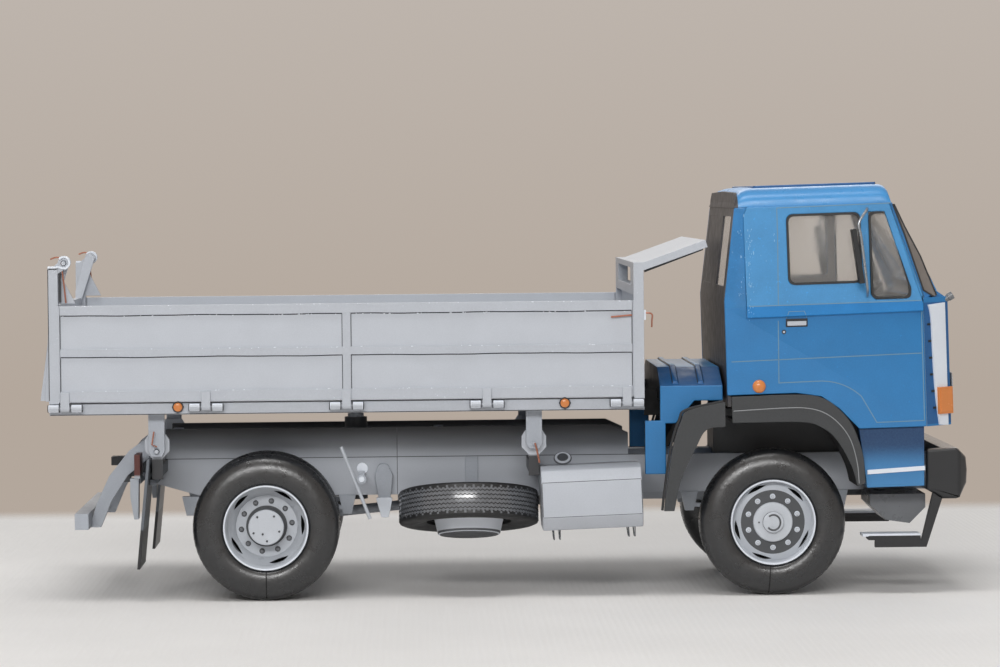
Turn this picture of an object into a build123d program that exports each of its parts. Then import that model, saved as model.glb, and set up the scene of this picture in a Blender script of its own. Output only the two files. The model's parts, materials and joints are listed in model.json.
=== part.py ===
from build123d import *

import os

# Card scale model of a two-axle cab-over three-way tipper truck, about 1:53.
# Millimetres, +X forwards, +Y to the truck's left, +Z up. The origin is on the ground under the
# middle of the model's bounding box. Stations along X are worked out from the two axles.

os.makedirs("parts", exist_ok=True)

# ---------------------------------------------------------------- driving dimensions
WHEELBASE = 69.8
REAR_AXLE_X = -33.0  # puts the origin under the middle of the overall length
FRONT_AXLE_X = REAR_AXLE_X + WHEELBASE

CARD = 0.5  # thickness of one glued card wall
TOUCH = 0.02  # gap between curved faces glued on one body
RUN_GAP = 0.08  # radial clearance of a pin in its hole
SIDE_GAP = 0.2  # clearance between pieces that move past each other

# tyres and rims
TYRE_RADIUS = 10.1
RIM_RADIUS = 5.9
TYRE_WIDTH = 5.5
TWIN_GAP = 0.6
WHEEL_FACE_Y = 22.0
STUB_RADIUS = 1.0
AXLE_Z = TYRE_RADIUS

# chassis
RAIL_OUTER_Y = 8.0
RAIL_THICK = 1.1
RAIL_INNER_Y = RAIL_OUTER_Y - RAIL_THICK
RAIL_BOTTOM_Z = 13.5
RAIL_TOP_Z = 18.8
SUBFRAME_TOP_Z = 23.0
RAIL_REAR_X = REAR_AXLE_X - 17.2
SUBFRAME_REAR_X = REAR_AXLE_X - 14.4

# cab
CAB_REAR_X = FRONT_AXLE_X - 6.3
CAB_HALF_WIDTH = 22.8
CAB_SIDE_BOTTOM_Z = 22.5
CAB_FLOOR_Z = 27.7
WAIST_Z = 39.7
ROOF_Z = 56.15
ROOF_RISE = 2.75  # from the eaves to the roof's ridge
EAVES_Z = ROOF_Z - ROOF_RISE
CAB_FRONT_X = FRONT_AXLE_X + 25.2
CAB_TILT = 1.4  # degrees that the cab sits nose-up on its mounts
BUMPER_FRONT_X = FRONT_AXLE_X + 27.0

# tipping body
CAB_TO_BODY = 11.4
REAR_OVERHANG = 29.3
BODY_FRONT_X = CAB_REAR_X - CAB_TO_BODY
BODY_REAR_X = REAR_AXLE_X - REAR_OVERHANG
BODY_HALF_WIDTH = 23.5
SILL_FACE_Y = BODY_HALF_WIDTH - 0.8
FLOOR_BOTTOM_Z = 26.7
FLOOR_TOP_Z = 27.5
SILL_BOTTOM_Z = 25.9
BOARD_BOTTOM_Z = 27.75
BOARD_TOP_Z = 40.9
BOARD_THICK = 0.8
POST_LENGTH = 1.4
POST_TOP_Z = 46.1
HINGE_Z = 26.9
HINGE_Y = BODY_HALF_WIDTH - 0.05
KNUCKLE_RADIUS = 0.5
HINGE_PIN_RADIUS = 0.2

# pivots of the tipping body
PIVOT_PIN_RADIUS = 0.3
TIP_X = REAR_AXLE_X - 14.9
TIP_Z = 20.7
FRONT_LUG_X = REAR_AXLE_X + 37.0
LUG_Y = BODY_HALF_WIDTH - 4.0
LUG_THICK = 1.0
GATE_PIVOT_X = BODY_REAR_X + 2.2
GATE_PIVOT_Z = POST_TOP_Z + 0.65

SIDES = {"right": -1, "left": 1}


# ---------------------------------------------------------------- shared shapes
def tip_cab(piece):
    """Turns a finished piece of the cab about the cab's rear mounts."""
    mounts = Axis((CAB_REAR_X, 0, CAB_FLOOR_Z), (0, -1, 0))
    add(piece.part.rotate(mounts, CAB_TILT), mode=Mode.REPLACE)


def block(x0, x1, y0, y1, z0, z1, mode=Mode.ADD):
    """A box given by its two ends along each axis."""
    with Locations(((x0 + x1) / 2, (y0 + y1) / 2, (z0 + z1) / 2)):
        Box(x1 - x0, y1 - y0, z1 - z0, mode=mode)


def side_shape(points, y0, y1, mode=Mode.ADD):
    """An outline of (x, z) points, carried from y0 to y1."""
    with BuildSketch(Plane.XZ.offset(-y1)) as outline:
        with BuildLine():
            Polyline(*points, close=True)
        make_face()
    extrude(outline.sketch, amount=y1 - y0, mode=mode)


def end_shape(points, x0, x1, mode=Mode.ADD):
    """An outline of (y, z) points, carried from x0 to x1."""
    with BuildSketch(Plane.YZ.offset(x0)) as outline:
        with BuildLine():
            Polyline(*points, close=True)
        make_face()
    extrude(outline.sketch, amount=x1 - x0, mode=mode)


def plan_shape(points, z0, z1, mode=Mode.ADD):
    """An outline of (x, y) points, carried from z0 to z1."""
    with BuildSketch(Plane.XY.offset(z0)) as outline:
        with BuildLine():
            Polyline(*points, close=True)
        make_face()
    extrude(outline.sketch, amount=z1 - z0, mode=mode)


def rod(start, end, radius, mode=Mode.ADD):
    """A round bar between two points."""
    path = Vector(*end) - Vector(*start)
    with BuildSketch(Plane(origin=start, z_dir=path)) as section:
        Circle(radius)
    extrude(section.sketch, amount=path.length, mode=mode)


def turned(axle_x, axle_z, outline, mode=Mode.ADD):
    """A round piece about a line along Y, from an outline of (radius, y) points."""
    with BuildSketch(Plane.XY.offset(axle_z)) as half:
        with BuildLine():
            Polyline(*[(axle_x + radius, y) for radius, y in outline], close=True)
        make_face()
    revolve(half.sketch, axis=Axis((axle_x, 0, axle_z), (0, 1, 0)), mode=mode)


def tyre(axle_x, axle_z, middle_y, width):
    """A tyre about a line along Y: flat tread, round shoulders, bulging walls."""
    half_width = width / 2
    bead = RIM_RADIUS + TOUCH
    wall = (bead + TYRE_RADIUS) / 2
    shoulder = TYRE_RADIUS - 0.9
    tread = half_width - 1.3
    with BuildSketch(Plane.XY.offset(axle_z)) as half:
        with BuildLine():
            rims = []
            for side in (-1, 1):
                y_bead = middle_y + side * (half_width - 0.5)
                y_shoulder = middle_y + side * (half_width - 0.3)
                y_tread = middle_y + side * tread
                ThreePointArc(
                    (axle_x + bead, y_bead),
                    (axle_x + wall, middle_y + side * half_width),
                    (axle_x + shoulder, y_shoulder),
                )
                ThreePointArc(
                    (axle_x + shoulder, y_shoulder),
                    (axle_x + TYRE_RADIUS - 0.27, middle_y + side * (half_width - 0.66)),
                    (axle_x + TYRE_RADIUS, y_tread),
                )
                rims.append((axle_x + bead, y_bead))
            Line((axle_x + TYRE_RADIUS, middle_y - tread), (axle_x + TYRE_RADIUS, middle_y + tread))
            Line(*rims)
        make_face()
    revolve(half.sketch, axis=Axis((axle_x, 0, axle_z), (0, 1, 0)))


# ---------------------------------------------------------------- chassis frame
with BuildPart() as frame_rails:
    side_shape(
        [
            (RAIL_REAR_X, RAIL_TOP_Z),
            (RAIL_REAR_X, RAIL_BOTTOM_Z + 2.3),
            (REAR_AXLE_X - 9.3, RAIL_BOTTOM_Z),
            (BUMPER_FRONT_X - 3.8, RAIL_BOTTOM_Z),
            (BUMPER_FRONT_X - 3.8, RAIL_TOP_Z),
        ],
        -RAIL_OUTER_Y,
        -RAIL_INNER_Y,
    )
    mirror(about=Plane.XZ)
frame_rails.part.label = "frame_rails"
export_step(frame_rails.part, "parts/frame_rails.step")

SUBFRAME_FRONT_X = BODY_FRONT_X - 1.5
with BuildPart() as subframe_beams:
    side_shape(
        [
            (SUBFRAME_REAR_X, RAIL_TOP_Z),
            (SUBFRAME_REAR_X, SUBFRAME_TOP_Z),
            (SUBFRAME_FRONT_X - 2.4, SUBFRAME_TOP_Z),
            (SUBFRAME_FRONT_X, SUBFRAME_TOP_Z - 1.1),
            (SUBFRAME_FRONT_X, RAIL_TOP_Z),
        ],
        -RAIL_OUTER_Y,
        -RAIL_INNER_Y,
    )
    mirror(about=Plane.XZ)
subframe_beams.part.label = "subframe_beams"
export_step(subframe_beams.part, "parts/subframe_beams.step")

# hoist stations, used by the crossmembers and by the hoist itself
HOIST_X = REAR_AXLE_X + 12.2
TRUNNION_Z = 16.2
BARREL_RADIUS = 1.6
TRUNNION_RADIUS = 0.5
CRADLE_REACH = 3.6

# columns: station x, bottom z, top z
CROSSMEMBERS = [
    (REAR_AXLE_X - 15.6, 15.2, 18.6),
    (REAR_AXLE_X - 5.6, 14.6, 18.2),
    (HOIST_X - CRADLE_REACH, 14.2, 18.2),
    (HOIST_X + CRADLE_REACH, 14.2, 18.2),
    (REAR_AXLE_X + 31.0, 14.2, 18.2),
    (FRONT_AXLE_X - 22.8, 15.4, 18.2),
    (FRONT_AXLE_X + 20.6, 14.2, 18.2),
]
SUBFRAME_BARS = [
    (SUBFRAME_REAR_X + 1.0, 19.4, 22.4),
    (REAR_AXLE_X + 24.0, 19.4, 22.4),
    (SUBFRAME_FRONT_X - 4.0, 19.4, 21.4),
]
with BuildPart() as crossmembers:
    for station_x, bottom_z, top_z in CROSSMEMBERS + SUBFRAME_BARS:
        block(station_x - 0.7, station_x + 0.7, -RAIL_INNER_Y, RAIL_INNER_Y, bottom_z, top_z)
    # two cheeks between the middle crossmembers carry the hoist's trunnions
    for side in (-1, 1):
        cheek_y = side * (BARREL_RADIUS + 0.75)
        block(
            HOIST_X - CRADLE_REACH, HOIST_X + CRADLE_REACH, cheek_y - 0.35, cheek_y + 0.35,
            TRUNNION_Z - 1.2, TRUNNION_Z + 1.2,
        )
    rod((HOIST_X, -4, TRUNNION_Z), (HOIST_X, 4, TRUNNION_Z), TRUNNION_RADIUS + RUN_GAP, Mode.SUBTRACT)
crossmembers.part.label = "crossmembers"
export_step(crossmembers.part, "parts/crossmembers.step")

# ---------------------------------------------------------------- axles and springs
TWIN_INNER_Y = WHEEL_FACE_Y - 2 * TYRE_WIDTH - TWIN_GAP
HUB_INNER_Y = TWIN_INNER_Y + 0.1
SPRING_Y = RAIL_OUTER_Y - 0.5
SPRING_WIDTH = 1.5

with BuildPart() as rear_axle:
    rod((REAR_AXLE_X, -HUB_INNER_Y + 0.5, AXLE_Z), (REAR_AXLE_X, HUB_INNER_Y - 0.5, AXLE_Z), 1.5)
    with Locations((REAR_AXLE_X, 0, AXLE_Z)):
        Sphere(3.3)
    rod((REAR_AXLE_X, 0, AXLE_Z), (REAR_AXLE_X + 4.6, 0, AXLE_Z), 1.3)
    rod((REAR_AXLE_X, -18.7, AXLE_Z), (REAR_AXLE_X, 18.7, AXLE_Z), STUB_RADIUS)
rear_axle.part.label = "rear_axle"
export_step(rear_axle.part, "parts/rear_axle.step")

FRONT_HUB_INNER_Y = WHEEL_FACE_Y - TYRE_WIDTH + 0.1
with BuildPart() as front_axle:
    # dropped beam, kingpin blocks and stub shafts
    block(FRONT_AXLE_X - 1.0, FRONT_AXLE_X + 1.0, -13.2, 13.2, AXLE_Z - 1.6, AXLE_Z + 0.4)
    for side in (-1, 1):
        knuckle = sorted((side * 12.6, side * (FRONT_HUB_INNER_Y - 0.4)))
        block(FRONT_AXLE_X - 1.4, FRONT_AXLE_X + 1.4, *knuckle, AXLE_Z - 2.2, AXLE_Z + 2.2)
        rod((FRONT_AXLE_X, side * 13, AXLE_Z), (FRONT_AXLE_X, side * 20.0, AXLE_Z), STUB_RADIUS)
    # track rod behind the beam
    rod((FRONT_AXLE_X - 3.2, -12.6, AXLE_Z), (FRONT_AXLE_X - 3.2, 12.6, AXLE_Z), 0.35)
    for side in (-1, 1):
        arm = sorted((side * 12.6, side * 13.3))
        block(FRONT_AXLE_X - 3.7, FRONT_AXLE_X - 1.3, *arm, AXLE_Z - 0.5, AXLE_Z + 0.5)
front_axle.part.label = "front_axle"
export_step(front_axle.part, "parts/front_axle.step")


def leaf_spring(axle_x, seat_z, reach, sag):
    """Leaf pack over an axle with a hanger under the rail at each end."""
    side_shape(
        [
            (axle_x - reach, seat_z + sag),
            (axle_x - 1.8, seat_z),
            (axle_x + 1.8, seat_z),
            (axle_x + reach, seat_z + sag),
            (axle_x + reach, seat_z + sag + 0.5),
            (axle_x + 5.2, seat_z + 1.1),
            (axle_x + 1.8, seat_z + 1.3),
            (axle_x - 1.8, seat_z + 1.3),
            (axle_x - 5.2, seat_z + 1.1),
            (axle_x - reach, seat_z + sag + 0.5),
        ],
        -SPRING_Y - SPRING_WIDTH / 2,
        -SPRING_Y + SPRING_WIDTH / 2,
    )
    for end in (-1, 1):
        hanger_x = axle_x + end * reach
        side_shape(
            [
                (hanger_x - 1.2, RAIL_BOTTOM_Z),
                (hanger_x - 0.6, seat_z + sag - 0.6),
                (hanger_x + 0.6, seat_z + sag - 0.6),
                (hanger_x + 1.2, RAIL_BOTTOM_Z),
            ],
            -SPRING_Y - SPRING_WIDTH / 2,
            -SPRING_Y + SPRING_WIDTH / 2,
        )


with BuildPart() as rear_springs:
    leaf_spring(REAR_AXLE_X, AXLE_Z + 1.55, 11.0, -0.2)
    mirror(about=Plane.XZ)
rear_springs.part.label = "rear_springs"
export_step(rear_springs.part, "parts/rear_springs.step")

with BuildPart() as front_springs:
    leaf_spring(FRONT_AXLE_X, AXLE_Z + 0.4, 10.6, 0.9)
    mirror(about=Plane.XZ)
front_springs.part.label = "front_springs"
export_step(front_springs.part, "parts/front_springs.step")

# ---------------------------------------------------------------- power train
ENGINE_REAR_X = FRONT_AXLE_X - 7.0
ENGINE_FRONT_X = FRONT_AXLE_X + 16.0
GEARBOX_REAR_X = ENGINE_REAR_X - 12.0
with BuildPart() as engine:
    block(ENGINE_REAR_X, ENGINE_FRONT_X, -5.6, 5.6, AXLE_Z + 2.4, 25.0)
engine.part.label = "engine"
export_step(engine.part, "parts/engine.step")

with BuildPart() as gearbox:
    right_half = [(-1.8, 19.2), (-3.4, 17.6), (-3.4, 13.2), (-1.6, 12.0)]
    left_half = [(-y, z) for y, z in reversed(right_half)]
    end_shape(right_half + left_half, GEARBOX_REAR_X, ENGINE_REAR_X)
gearbox.part.label = "gearbox"
export_step(gearbox.part, "parts/gearbox.step")

with BuildPart() as propshaft:
    rod((REAR_AXLE_X + 4.75, 0, AXLE_Z), (GEARBOX_REAR_X - 0.1, 0, 14.4), 0.7)
    rod((REAR_AXLE_X + 4.75, 0, AXLE_Z), (REAR_AXLE_X + 6.6, 0, AXLE_Z + 0.2), 1.0)
propshaft.part.label = "propshaft"
export_step(propshaft.part, "parts/propshaft.step")

# ---------------------------------------------------------------- tanks and boxes on the rails
# the spare wheel hangs behind the tank, which fills the room up to the front mudguard
SPARE_X = REAR_AXLE_X + 28.0
SPARE_RADIUS = TYRE_RADIUS - 0.35
TANK_REAR_X = SPARE_X + SPARE_RADIUS + SIDE_GAP
TANK_FRONT_X = FRONT_AXLE_X - 18.0
TANK_OUTER_Y = WHEEL_FACE_Y
TANK_INNER_Y = RAIL_OUTER_Y + 2.4
with BuildPart() as fuel_tank:
    end_shape(
        [
            (-TANK_INNER_Y - 0.8, 9.4),
            (-TANK_OUTER_Y + 1.6, 9.4),
            (-TANK_OUTER_Y, 11.2),
            (-TANK_OUTER_Y, 16.1),
            (-TANK_OUTER_Y + 1.2, 18.5),
            (-TANK_OUTER_Y + 4.2, 19.3),
            (-TANK_INNER_Y - 0.8, 19.7),
            (-TANK_INNER_Y, 18.8),
            (-TANK_INNER_Y, 10.2),
        ],
        TANK_REAR_X,
        TANK_FRONT_X,
    )
    rod((TANK_REAR_X + 3.4, -17.0, 19.2), (TANK_REAR_X + 3.3, -17.4, 20.0), 1.0)
    # carrying brackets run from the rail under the tank
    for bracket_x in (TANK_REAR_X + 1.9, TANK_FRONT_X - 1.6):
        block(bracket_x - 0.6, bracket_x + 0.6, -TANK_INNER_Y, -RAIL_OUTER_Y, 13.6, 17.6)
        block(bracket_x - 0.6, bracket_x + 0.6, -TANK_OUTER_Y + 2.0, -TANK_INNER_Y - 0.8, 8.9, 9.4)
fuel_tank.part.label = "fuel_tank"
export_step(fuel_tank.part, "parts/fuel_tank.step")

with BuildPart() as battery_box:
    block(TANK_REAR_X, TANK_REAR_X + 8.4, TANK_INNER_Y, TANK_OUTER_Y - 1.0, 10.4, 18.4)
    block(TANK_REAR_X - 0.2, TANK_REAR_X + 8.6, TANK_INNER_Y - 0.2, TANK_OUTER_Y - 0.8, 18.4, 18.9)
    for bracket_x in (TANK_REAR_X + 1.6, TANK_REAR_X + 6.8):
        block(bracket_x - 0.6, bracket_x + 0.6, RAIL_OUTER_Y, TANK_INNER_Y, 13.6, 17.6)
battery_box.part.label = "battery_box"
export_step(battery_box.part, "parts/battery_box.step")

AIR_TANK_RADIUS = 2.6
with BuildPart() as air_tanks:
    # two bottles along the left rail, each on a bracket
    for tank_z, tank_y in ((15.4, 12.4), (12.9, 17.6)):
        rod((REAR_AXLE_X + 18.0, tank_y, tank_z), (REAR_AXLE_X + 33.5, tank_y, tank_z), AIR_TANK_RADIUS)
    for bracket_x in (REAR_AXLE_X + 21.0, REAR_AXLE_X + 30.5):
        block(bracket_x - 0.5, bracket_x + 0.5, RAIL_OUTER_Y, 16.6, 14.2, 15.6)
air_tanks.part.label = "air_tanks"
export_step(air_tanks.part, "parts/air_tanks.step")

with BuildPart() as silencer:
    side_shape(
        [
            (FRONT_AXLE_X + 13.9, RAIL_BOTTOM_Z),
            (FRONT_AXLE_X + 13.9, 12.0),
            (FRONT_AXLE_X + 16.0, 9.9),
            (FRONT_AXLE_X + 19.4, 9.4),
            (FRONT_AXLE_X + 21.6, 11.6),
            (FRONT_AXLE_X + 21.6, RAIL_BOTTOM_Z),
        ],
        -17.0,
        -5.8,
    )
silencer.part.label = "silencer"
export_step(silencer.part, "parts/silencer.step")

# ---------------------------------------------------------------- spare wheel under the right side
SPARE_Y = -12.6
SPARE_Z = 11.9
SPARE_TILT = 12.0
spare_plane = Plane(origin=(SPARE_X, SPARE_Y, SPARE_Z), z_dir=(0, 0, 1)).rotated((-SPARE_TILT, 0, 0))
SPARE_WIDTH = TYRE_WIDTH - 0.6


def spare_piece(outline):
    """A round piece about the spare wheel's own line, from (radius, height) points."""
    upright = Plane(origin=spare_plane.origin, x_dir=spare_plane.x_dir, z_dir=-spare_plane.y_dir)
    with BuildSketch(upright) as half:
        with BuildLine():
            Polyline(*outline, close=True)
        make_face()
    revolve(half.sketch, axis=Axis(spare_plane.origin, spare_plane.z_dir))


HALF_SPARE = SPARE_WIDTH / 2
with BuildPart() as spare_tyre:
    spare_piece(
        [
            (RIM_RADIUS + TOUCH, -HALF_SPARE + 0.4),
            (SPARE_RADIUS - 1.8, -HALF_SPARE),
            (SPARE_RADIUS - 0.7, -HALF_SPARE + 0.3),
            (SPARE_RADIUS, -HALF_SPARE + 1.1),
            (SPARE_RADIUS, HALF_SPARE - 1.1),
            (SPARE_RADIUS - 0.7, HALF_SPARE - 0.3),
            (SPARE_RADIUS - 1.8, HALF_SPARE),
            (RIM_RADIUS + TOUCH, HALF_SPARE - 0.4),
        ]
    )
spare_tyre.part.label = "spare_tyre"
export_step(spare_tyre.part, "parts/spare_tyre.step")

with BuildPart() as spare_rim:
    spare_piece(
        [
            (0, -HALF_SPARE - 1.0),
            (4.1, -HALF_SPARE - 1.0),
            (4.8, -HALF_SPARE + 0.3),
            (5.3, -HALF_SPARE + 0.2),
            (RIM_RADIUS, -HALF_SPARE + 0.2),
            (RIM_RADIUS, HALF_SPARE - 0.3),
            (5.3, HALF_SPARE - 0.3),
            (5.3, -HALF_SPARE + 0.9),
            (4.4, -HALF_SPARE + 0.9),
            (3.0, -HALF_SPARE - 0.4),
            (0, -HALF_SPARE - 0.4),
        ]
    )
spare_rim.part.label = "spare_rim"
export_step(spare_rim.part, "parts/spare_rim.step")

CRANK_Y = -19.0
with BuildPart() as spare_carrier:
    # bracket under the rail, its hanging arm, and the winch crank with two hubs
    side_shape(
        [
            (REAR_AXLE_X + 14.9, 16.6),
            (REAR_AXLE_X + 15.4, 18.0),
            (REAR_AXLE_X + 16.9, 18.0),
            (REAR_AXLE_X + 17.4, 16.6),
            (REAR_AXLE_X + 16.9, 10.6),
            (REAR_AXLE_X + 15.6, 10.6),
        ],
        -RAIL_OUTER_Y - 1.2,
        -RAIL_OUTER_Y,
    )
    rod((REAR_AXLE_X + 13.2, -RAIL_OUTER_Y, 16.6), (REAR_AXLE_X + 13.2, CRANK_Y - 0.6, 16.6), 0.55)
    rod((REAR_AXLE_X + 10.4, CRANK_Y, 21.0), (REAR_AXLE_X + 14.3, CRANK_Y, 11.0), 0.28)
    rod((REAR_AXLE_X + 12.12, CRANK_Y - 0.6, 16.6), (REAR_AXLE_X + 12.12, CRANK_Y + 0.6, 16.6), 1.0)
    block(REAR_AXLE_X + 11.6, REAR_AXLE_X + 13.9, CRANK_Y - 0.3, CRANK_Y + 0.4, 16.2, 17.0)
spare_carrier.part.label = "spare_carrier"
export_step(spare_carrier.part, "parts/spare_carrier.step")

# ---------------------------------------------------------------- cab shell
WALL_INNER_Y = CAB_HALF_WIDTH - 0.6
EAVES_Y = CAB_HALF_WIDTH - 0.7
PILLAR_TOP_X = CAB_FRONT_X - 8.4
PILLAR_FOOT_X = CAB_FRONT_X - 4.0
SIDE_FRONT_X = CAB_FRONT_X - 4.2
SCREEN_TOP_X = PILLAR_TOP_X + 0.5
SCREEN_FOOT_X = CAB_FRONT_X - 2.1
SCREEN_FOOT_Z = WAIST_Z + 1.4
ARCH_LIP_X = FRONT_AXLE_X + 3.2
ARCH_KNEE_X = FRONT_AXLE_X + 11.7
CAB_TOP_REAR_X = CAB_REAR_X + 1.8

WINDOW_TOP_Z = EAVES_Z - 1.2
WINDOW_SILL_Z = WAIST_Z + 2.9
DOOR_WINDOW = (CAB_REAR_X + 8.9, PILLAR_TOP_X - 4.1, WINDOW_SILL_Z, WINDOW_TOP_Z)
QUARTER_WINDOW = [
    (PILLAR_TOP_X - 2.9, WINDOW_TOP_Z),
    (PILLAR_TOP_X - 0.7, WINDOW_TOP_Z),
    (PILLAR_FOOT_X - 1.85, WAIST_Z + 1.9),
    (PILLAR_FOOT_X - 2.5, WAIST_Z + 0.5),
    (PILLAR_TOP_X - 2.3, WAIST_Z + 0.5),
    (PILLAR_TOP_X - 2.95, WAIST_Z + 1.2),
]
CAB_SIDE_OUTLINE = [
    (CAB_REAR_X, CAB_FLOOR_Z),
    (ARCH_LIP_X, CAB_FLOOR_Z),
    (ARCH_LIP_X + 3.4, CAB_FLOOR_Z - 0.6),
    (ARCH_LIP_X + 5.8, CAB_FLOOR_Z - 2.3),
    (ARCH_KNEE_X, CAB_SIDE_BOTTOM_Z),
    (SIDE_FRONT_X, CAB_SIDE_BOTTOM_Z),
    (SIDE_FRONT_X, WAIST_Z - 0.5),
    (PILLAR_FOOT_X, WAIST_Z + 0.3),
    (PILLAR_TOP_X, EAVES_Z),
    (CAB_TOP_REAR_X, EAVES_Z),
    (CAB_REAR_X, WAIST_Z + 1.0),
]
SKIN_OUTLINE = [
    (CAB_REAR_X + 3.0, WAIST_Z - 1.5),
    (PILLAR_FOOT_X + 0.1, WAIST_Z - 1.3),
    (PILLAR_TOP_X, EAVES_Z),
    (CAB_REAR_X + 3.5, EAVES_Z),
    (CAB_REAR_X + 3.0, EAVES_Z - 1.2),
]


def round_window(x0, x1, z0, z1, y0, y1, corner, mode):
    """A window opening or pane with rounded corners, carried across Y."""
    with BuildSketch(Plane.XZ.offset(-y1)) as pane:
        with Locations(((x0 + x1) / 2, (z0 + z1) / 2)):
            RectangleRounded(x1 - x0, z1 - z0, corner)
    extrude(pane.sketch, amount=y1 - y0, mode=mode)


def cab_wall(sign):
    """One side wall: leaning sheet with its raised upper skin, windows cut."""
    low, high = sorted((sign * (CAB_HALF_WIDTH + 1.0), sign * (WALL_INNER_Y - 1.5)))
    end_shape(
        [
            (sign * WALL_INNER_Y, CAB_SIDE_BOTTOM_Z),
            (sign * CAB_HALF_WIDTH, CAB_SIDE_BOTTOM_Z),
            (sign * CAB_HALF_WIDTH, WAIST_Z),
            (sign * EAVES_Y, EAVES_Z),
            (sign * (EAVES_Y - 0.6), EAVES_Z),
            (sign * WALL_INNER_Y, WAIST_Z),
        ],
        CAB_REAR_X,
        SIDE_FRONT_X,
    )
    side_shape(CAB_SIDE_OUTLINE, low, high, Mode.INTERSECT)


def cab_skin(sign):
    """The raised sheet round the windows, flared out along its lower edge."""
    low, high = sorted((sign * (CAB_HALF_WIDTH + 1.0), sign * (WALL_INNER_Y - 1.5)))
    with BuildPart() as skin:
        end_shape(
            [
                (sign * CAB_HALF_WIDTH, WAIST_Z - 1.6),
                (sign * (CAB_HALF_WIDTH + 0.6), WAIST_Z - 1.5),
                (sign * (CAB_HALF_WIDTH + 0.25), WAIST_Z + 0.1),
                (sign * (EAVES_Y + 0.25), EAVES_Z),
                (sign * EAVES_Y, EAVES_Z),
                (sign * CAB_HALF_WIDTH, WAIST_Z),
            ],
            CAB_REAR_X,
            SIDE_FRONT_X,
        )
        side_shape(SKIN_OUTLINE, low, high, Mode.INTERSECT)
    return skin.part


for side_name, sign in SIDES.items():
    low, high = sorted((sign * (CAB_HALF_WIDTH + 1.0), sign * (WALL_INNER_Y - 1.5)))
    with BuildPart() as cab_side:
        cab_wall(sign)
        add(cab_skin(sign))
        round_window(*DOOR_WINDOW, low, high, 0.8, Mode.SUBTRACT)
        side_shape(QUARTER_WINDOW, low, high, Mode.SUBTRACT)
        tip_cab(cab_side)
    cab_side.part.label = f"cab_side_{side_name}"
    export_step(cab_side.part, f"parts/cab_side_{side_name}.step")

ROOF_SHOULDER_Y = CAB_HALF_WIDTH - 3.4
# columns: half width, height of the roof's outer face, from the eaves to the ridge
ROOF_OUTER = [
    (EAVES_Y, EAVES_Z),
    (EAVES_Y - 0.3, EAVES_Z + 1.3),
    (EAVES_Y - 1.1, EAVES_Z + 2.1),
    (ROOF_SHOULDER_Y, ROOF_Z - 0.2),
    (0, ROOF_Z),
]
ROOF_INNER = [
    (0, ROOF_Z - CARD),
    (ROOF_SHOULDER_Y - 0.2, ROOF_Z - 0.2 - CARD),
    (EAVES_Y - 0.9, EAVES_Z + 1.1),
    (EAVES_Y - 0.6, EAVES_Z),
]
with BuildPart() as cab_roof:
    half_roof = ROOF_OUTER + ROOF_INNER
    end_shape(half_roof, CAB_TOP_REAR_X, PILLAR_TOP_X + 0.5)
    # header over the windscreen closes the front of the roof
    header_half = [(0, EAVES_Z)] + ROOF_INNER
    end_shape(header_half, PILLAR_TOP_X - 1.0, PILLAR_TOP_X + 0.5)
    mirror(about=Plane.XZ)
    # the front edge of the roof rolls down to the windscreen header
    side_shape(
        [
            (CAB_TOP_REAR_X, EAVES_Z),
            (PILLAR_TOP_X + 0.3, EAVES_Z),
            (PILLAR_TOP_X + 0.2, EAVES_Z + 1.2),
            (PILLAR_TOP_X - 0.9, ROOF_Z - 0.3),
            (PILLAR_TOP_X - 2.0, ROOF_Z + 0.5),
            (CAB_TOP_REAR_X + 0.3, ROOF_Z + 0.5),
            (CAB_TOP_REAR_X, ROOF_Z - 1.4),
        ],
        -CAB_HALF_WIDTH,
        CAB_HALF_WIDTH,
        Mode.INTERSECT,
    )
    # raised panel glued on the roof
    panel_y = ROOF_SHOULDER_Y - 0.8
    block(CAB_TOP_REAR_X + 0.9, PILLAR_TOP_X - 1.9, -panel_y, panel_y, ROOF_Z - 0.5, ROOF_Z + 0.4)
    tip_cab(cab_roof)
cab_roof.part.label = "cab_roof"
export_step(cab_roof.part, "parts/cab_roof.step")

BACK_WINDOW_Y = (5.0, CAB_HALF_WIDTH - 4.2)
with BuildPart() as cab_back:
    side_shape(
        [
            (CAB_REAR_X + 0.1, CAB_FLOOR_Z - 1.6),
            (CAB_REAR_X, WAIST_Z + 1.0),
            (CAB_TOP_REAR_X, EAVES_Z),
            (CAB_TOP_REAR_X + 0.2, ROOF_Z),
            (CAB_TOP_REAR_X + 0.7, ROOF_Z),
            (CAB_TOP_REAR_X + 0.5, EAVES_Z),
            (CAB_REAR_X + 0.5, WAIST_Z + 1.0),
            (CAB_REAR_X + 0.6, CAB_FLOOR_Z - 1.6),
        ],
        -WALL_INNER_Y,
        WALL_INNER_Y,
    )
    end_shape(
        [
            (-WALL_INNER_Y, CAB_FLOOR_Z - 1.6),
            (WALL_INNER_Y, CAB_FLOOR_Z - 1.6),
            (WALL_INNER_Y, WAIST_Z),
            *reversed(ROOF_INNER),
            *[(-y, z) for y, z in ROOF_INNER[1:]],
            (-WALL_INNER_Y, WAIST_Z),
        ],
        CAB_REAR_X - 1.0,
        CAB_TOP_REAR_X + 1.0,
        Mode.INTERSECT,
    )
    for sign in (-1, 1):
        window_y = sorted(sign * y for y in BACK_WINDOW_Y)
        block(CAB_REAR_X - 1, CAB_TOP_REAR_X + 1, *window_y, WINDOW_SILL_Z, WINDOW_TOP_Z, Mode.SUBTRACT)
    tip_cab(cab_back)
cab_back.part.label = "cab_back"
export_step(cab_back.part, "parts/cab_back.step")

FRONT_CORNER_Y = CAB_HALF_WIDTH - 2.6
SCREEN_HALF_WIDTH = FRONT_CORNER_Y - 0.4
screen_slope = (SCREEN_FOOT_X - SCREEN_TOP_X) / (EAVES_Z - SCREEN_FOOT_Z)


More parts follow.
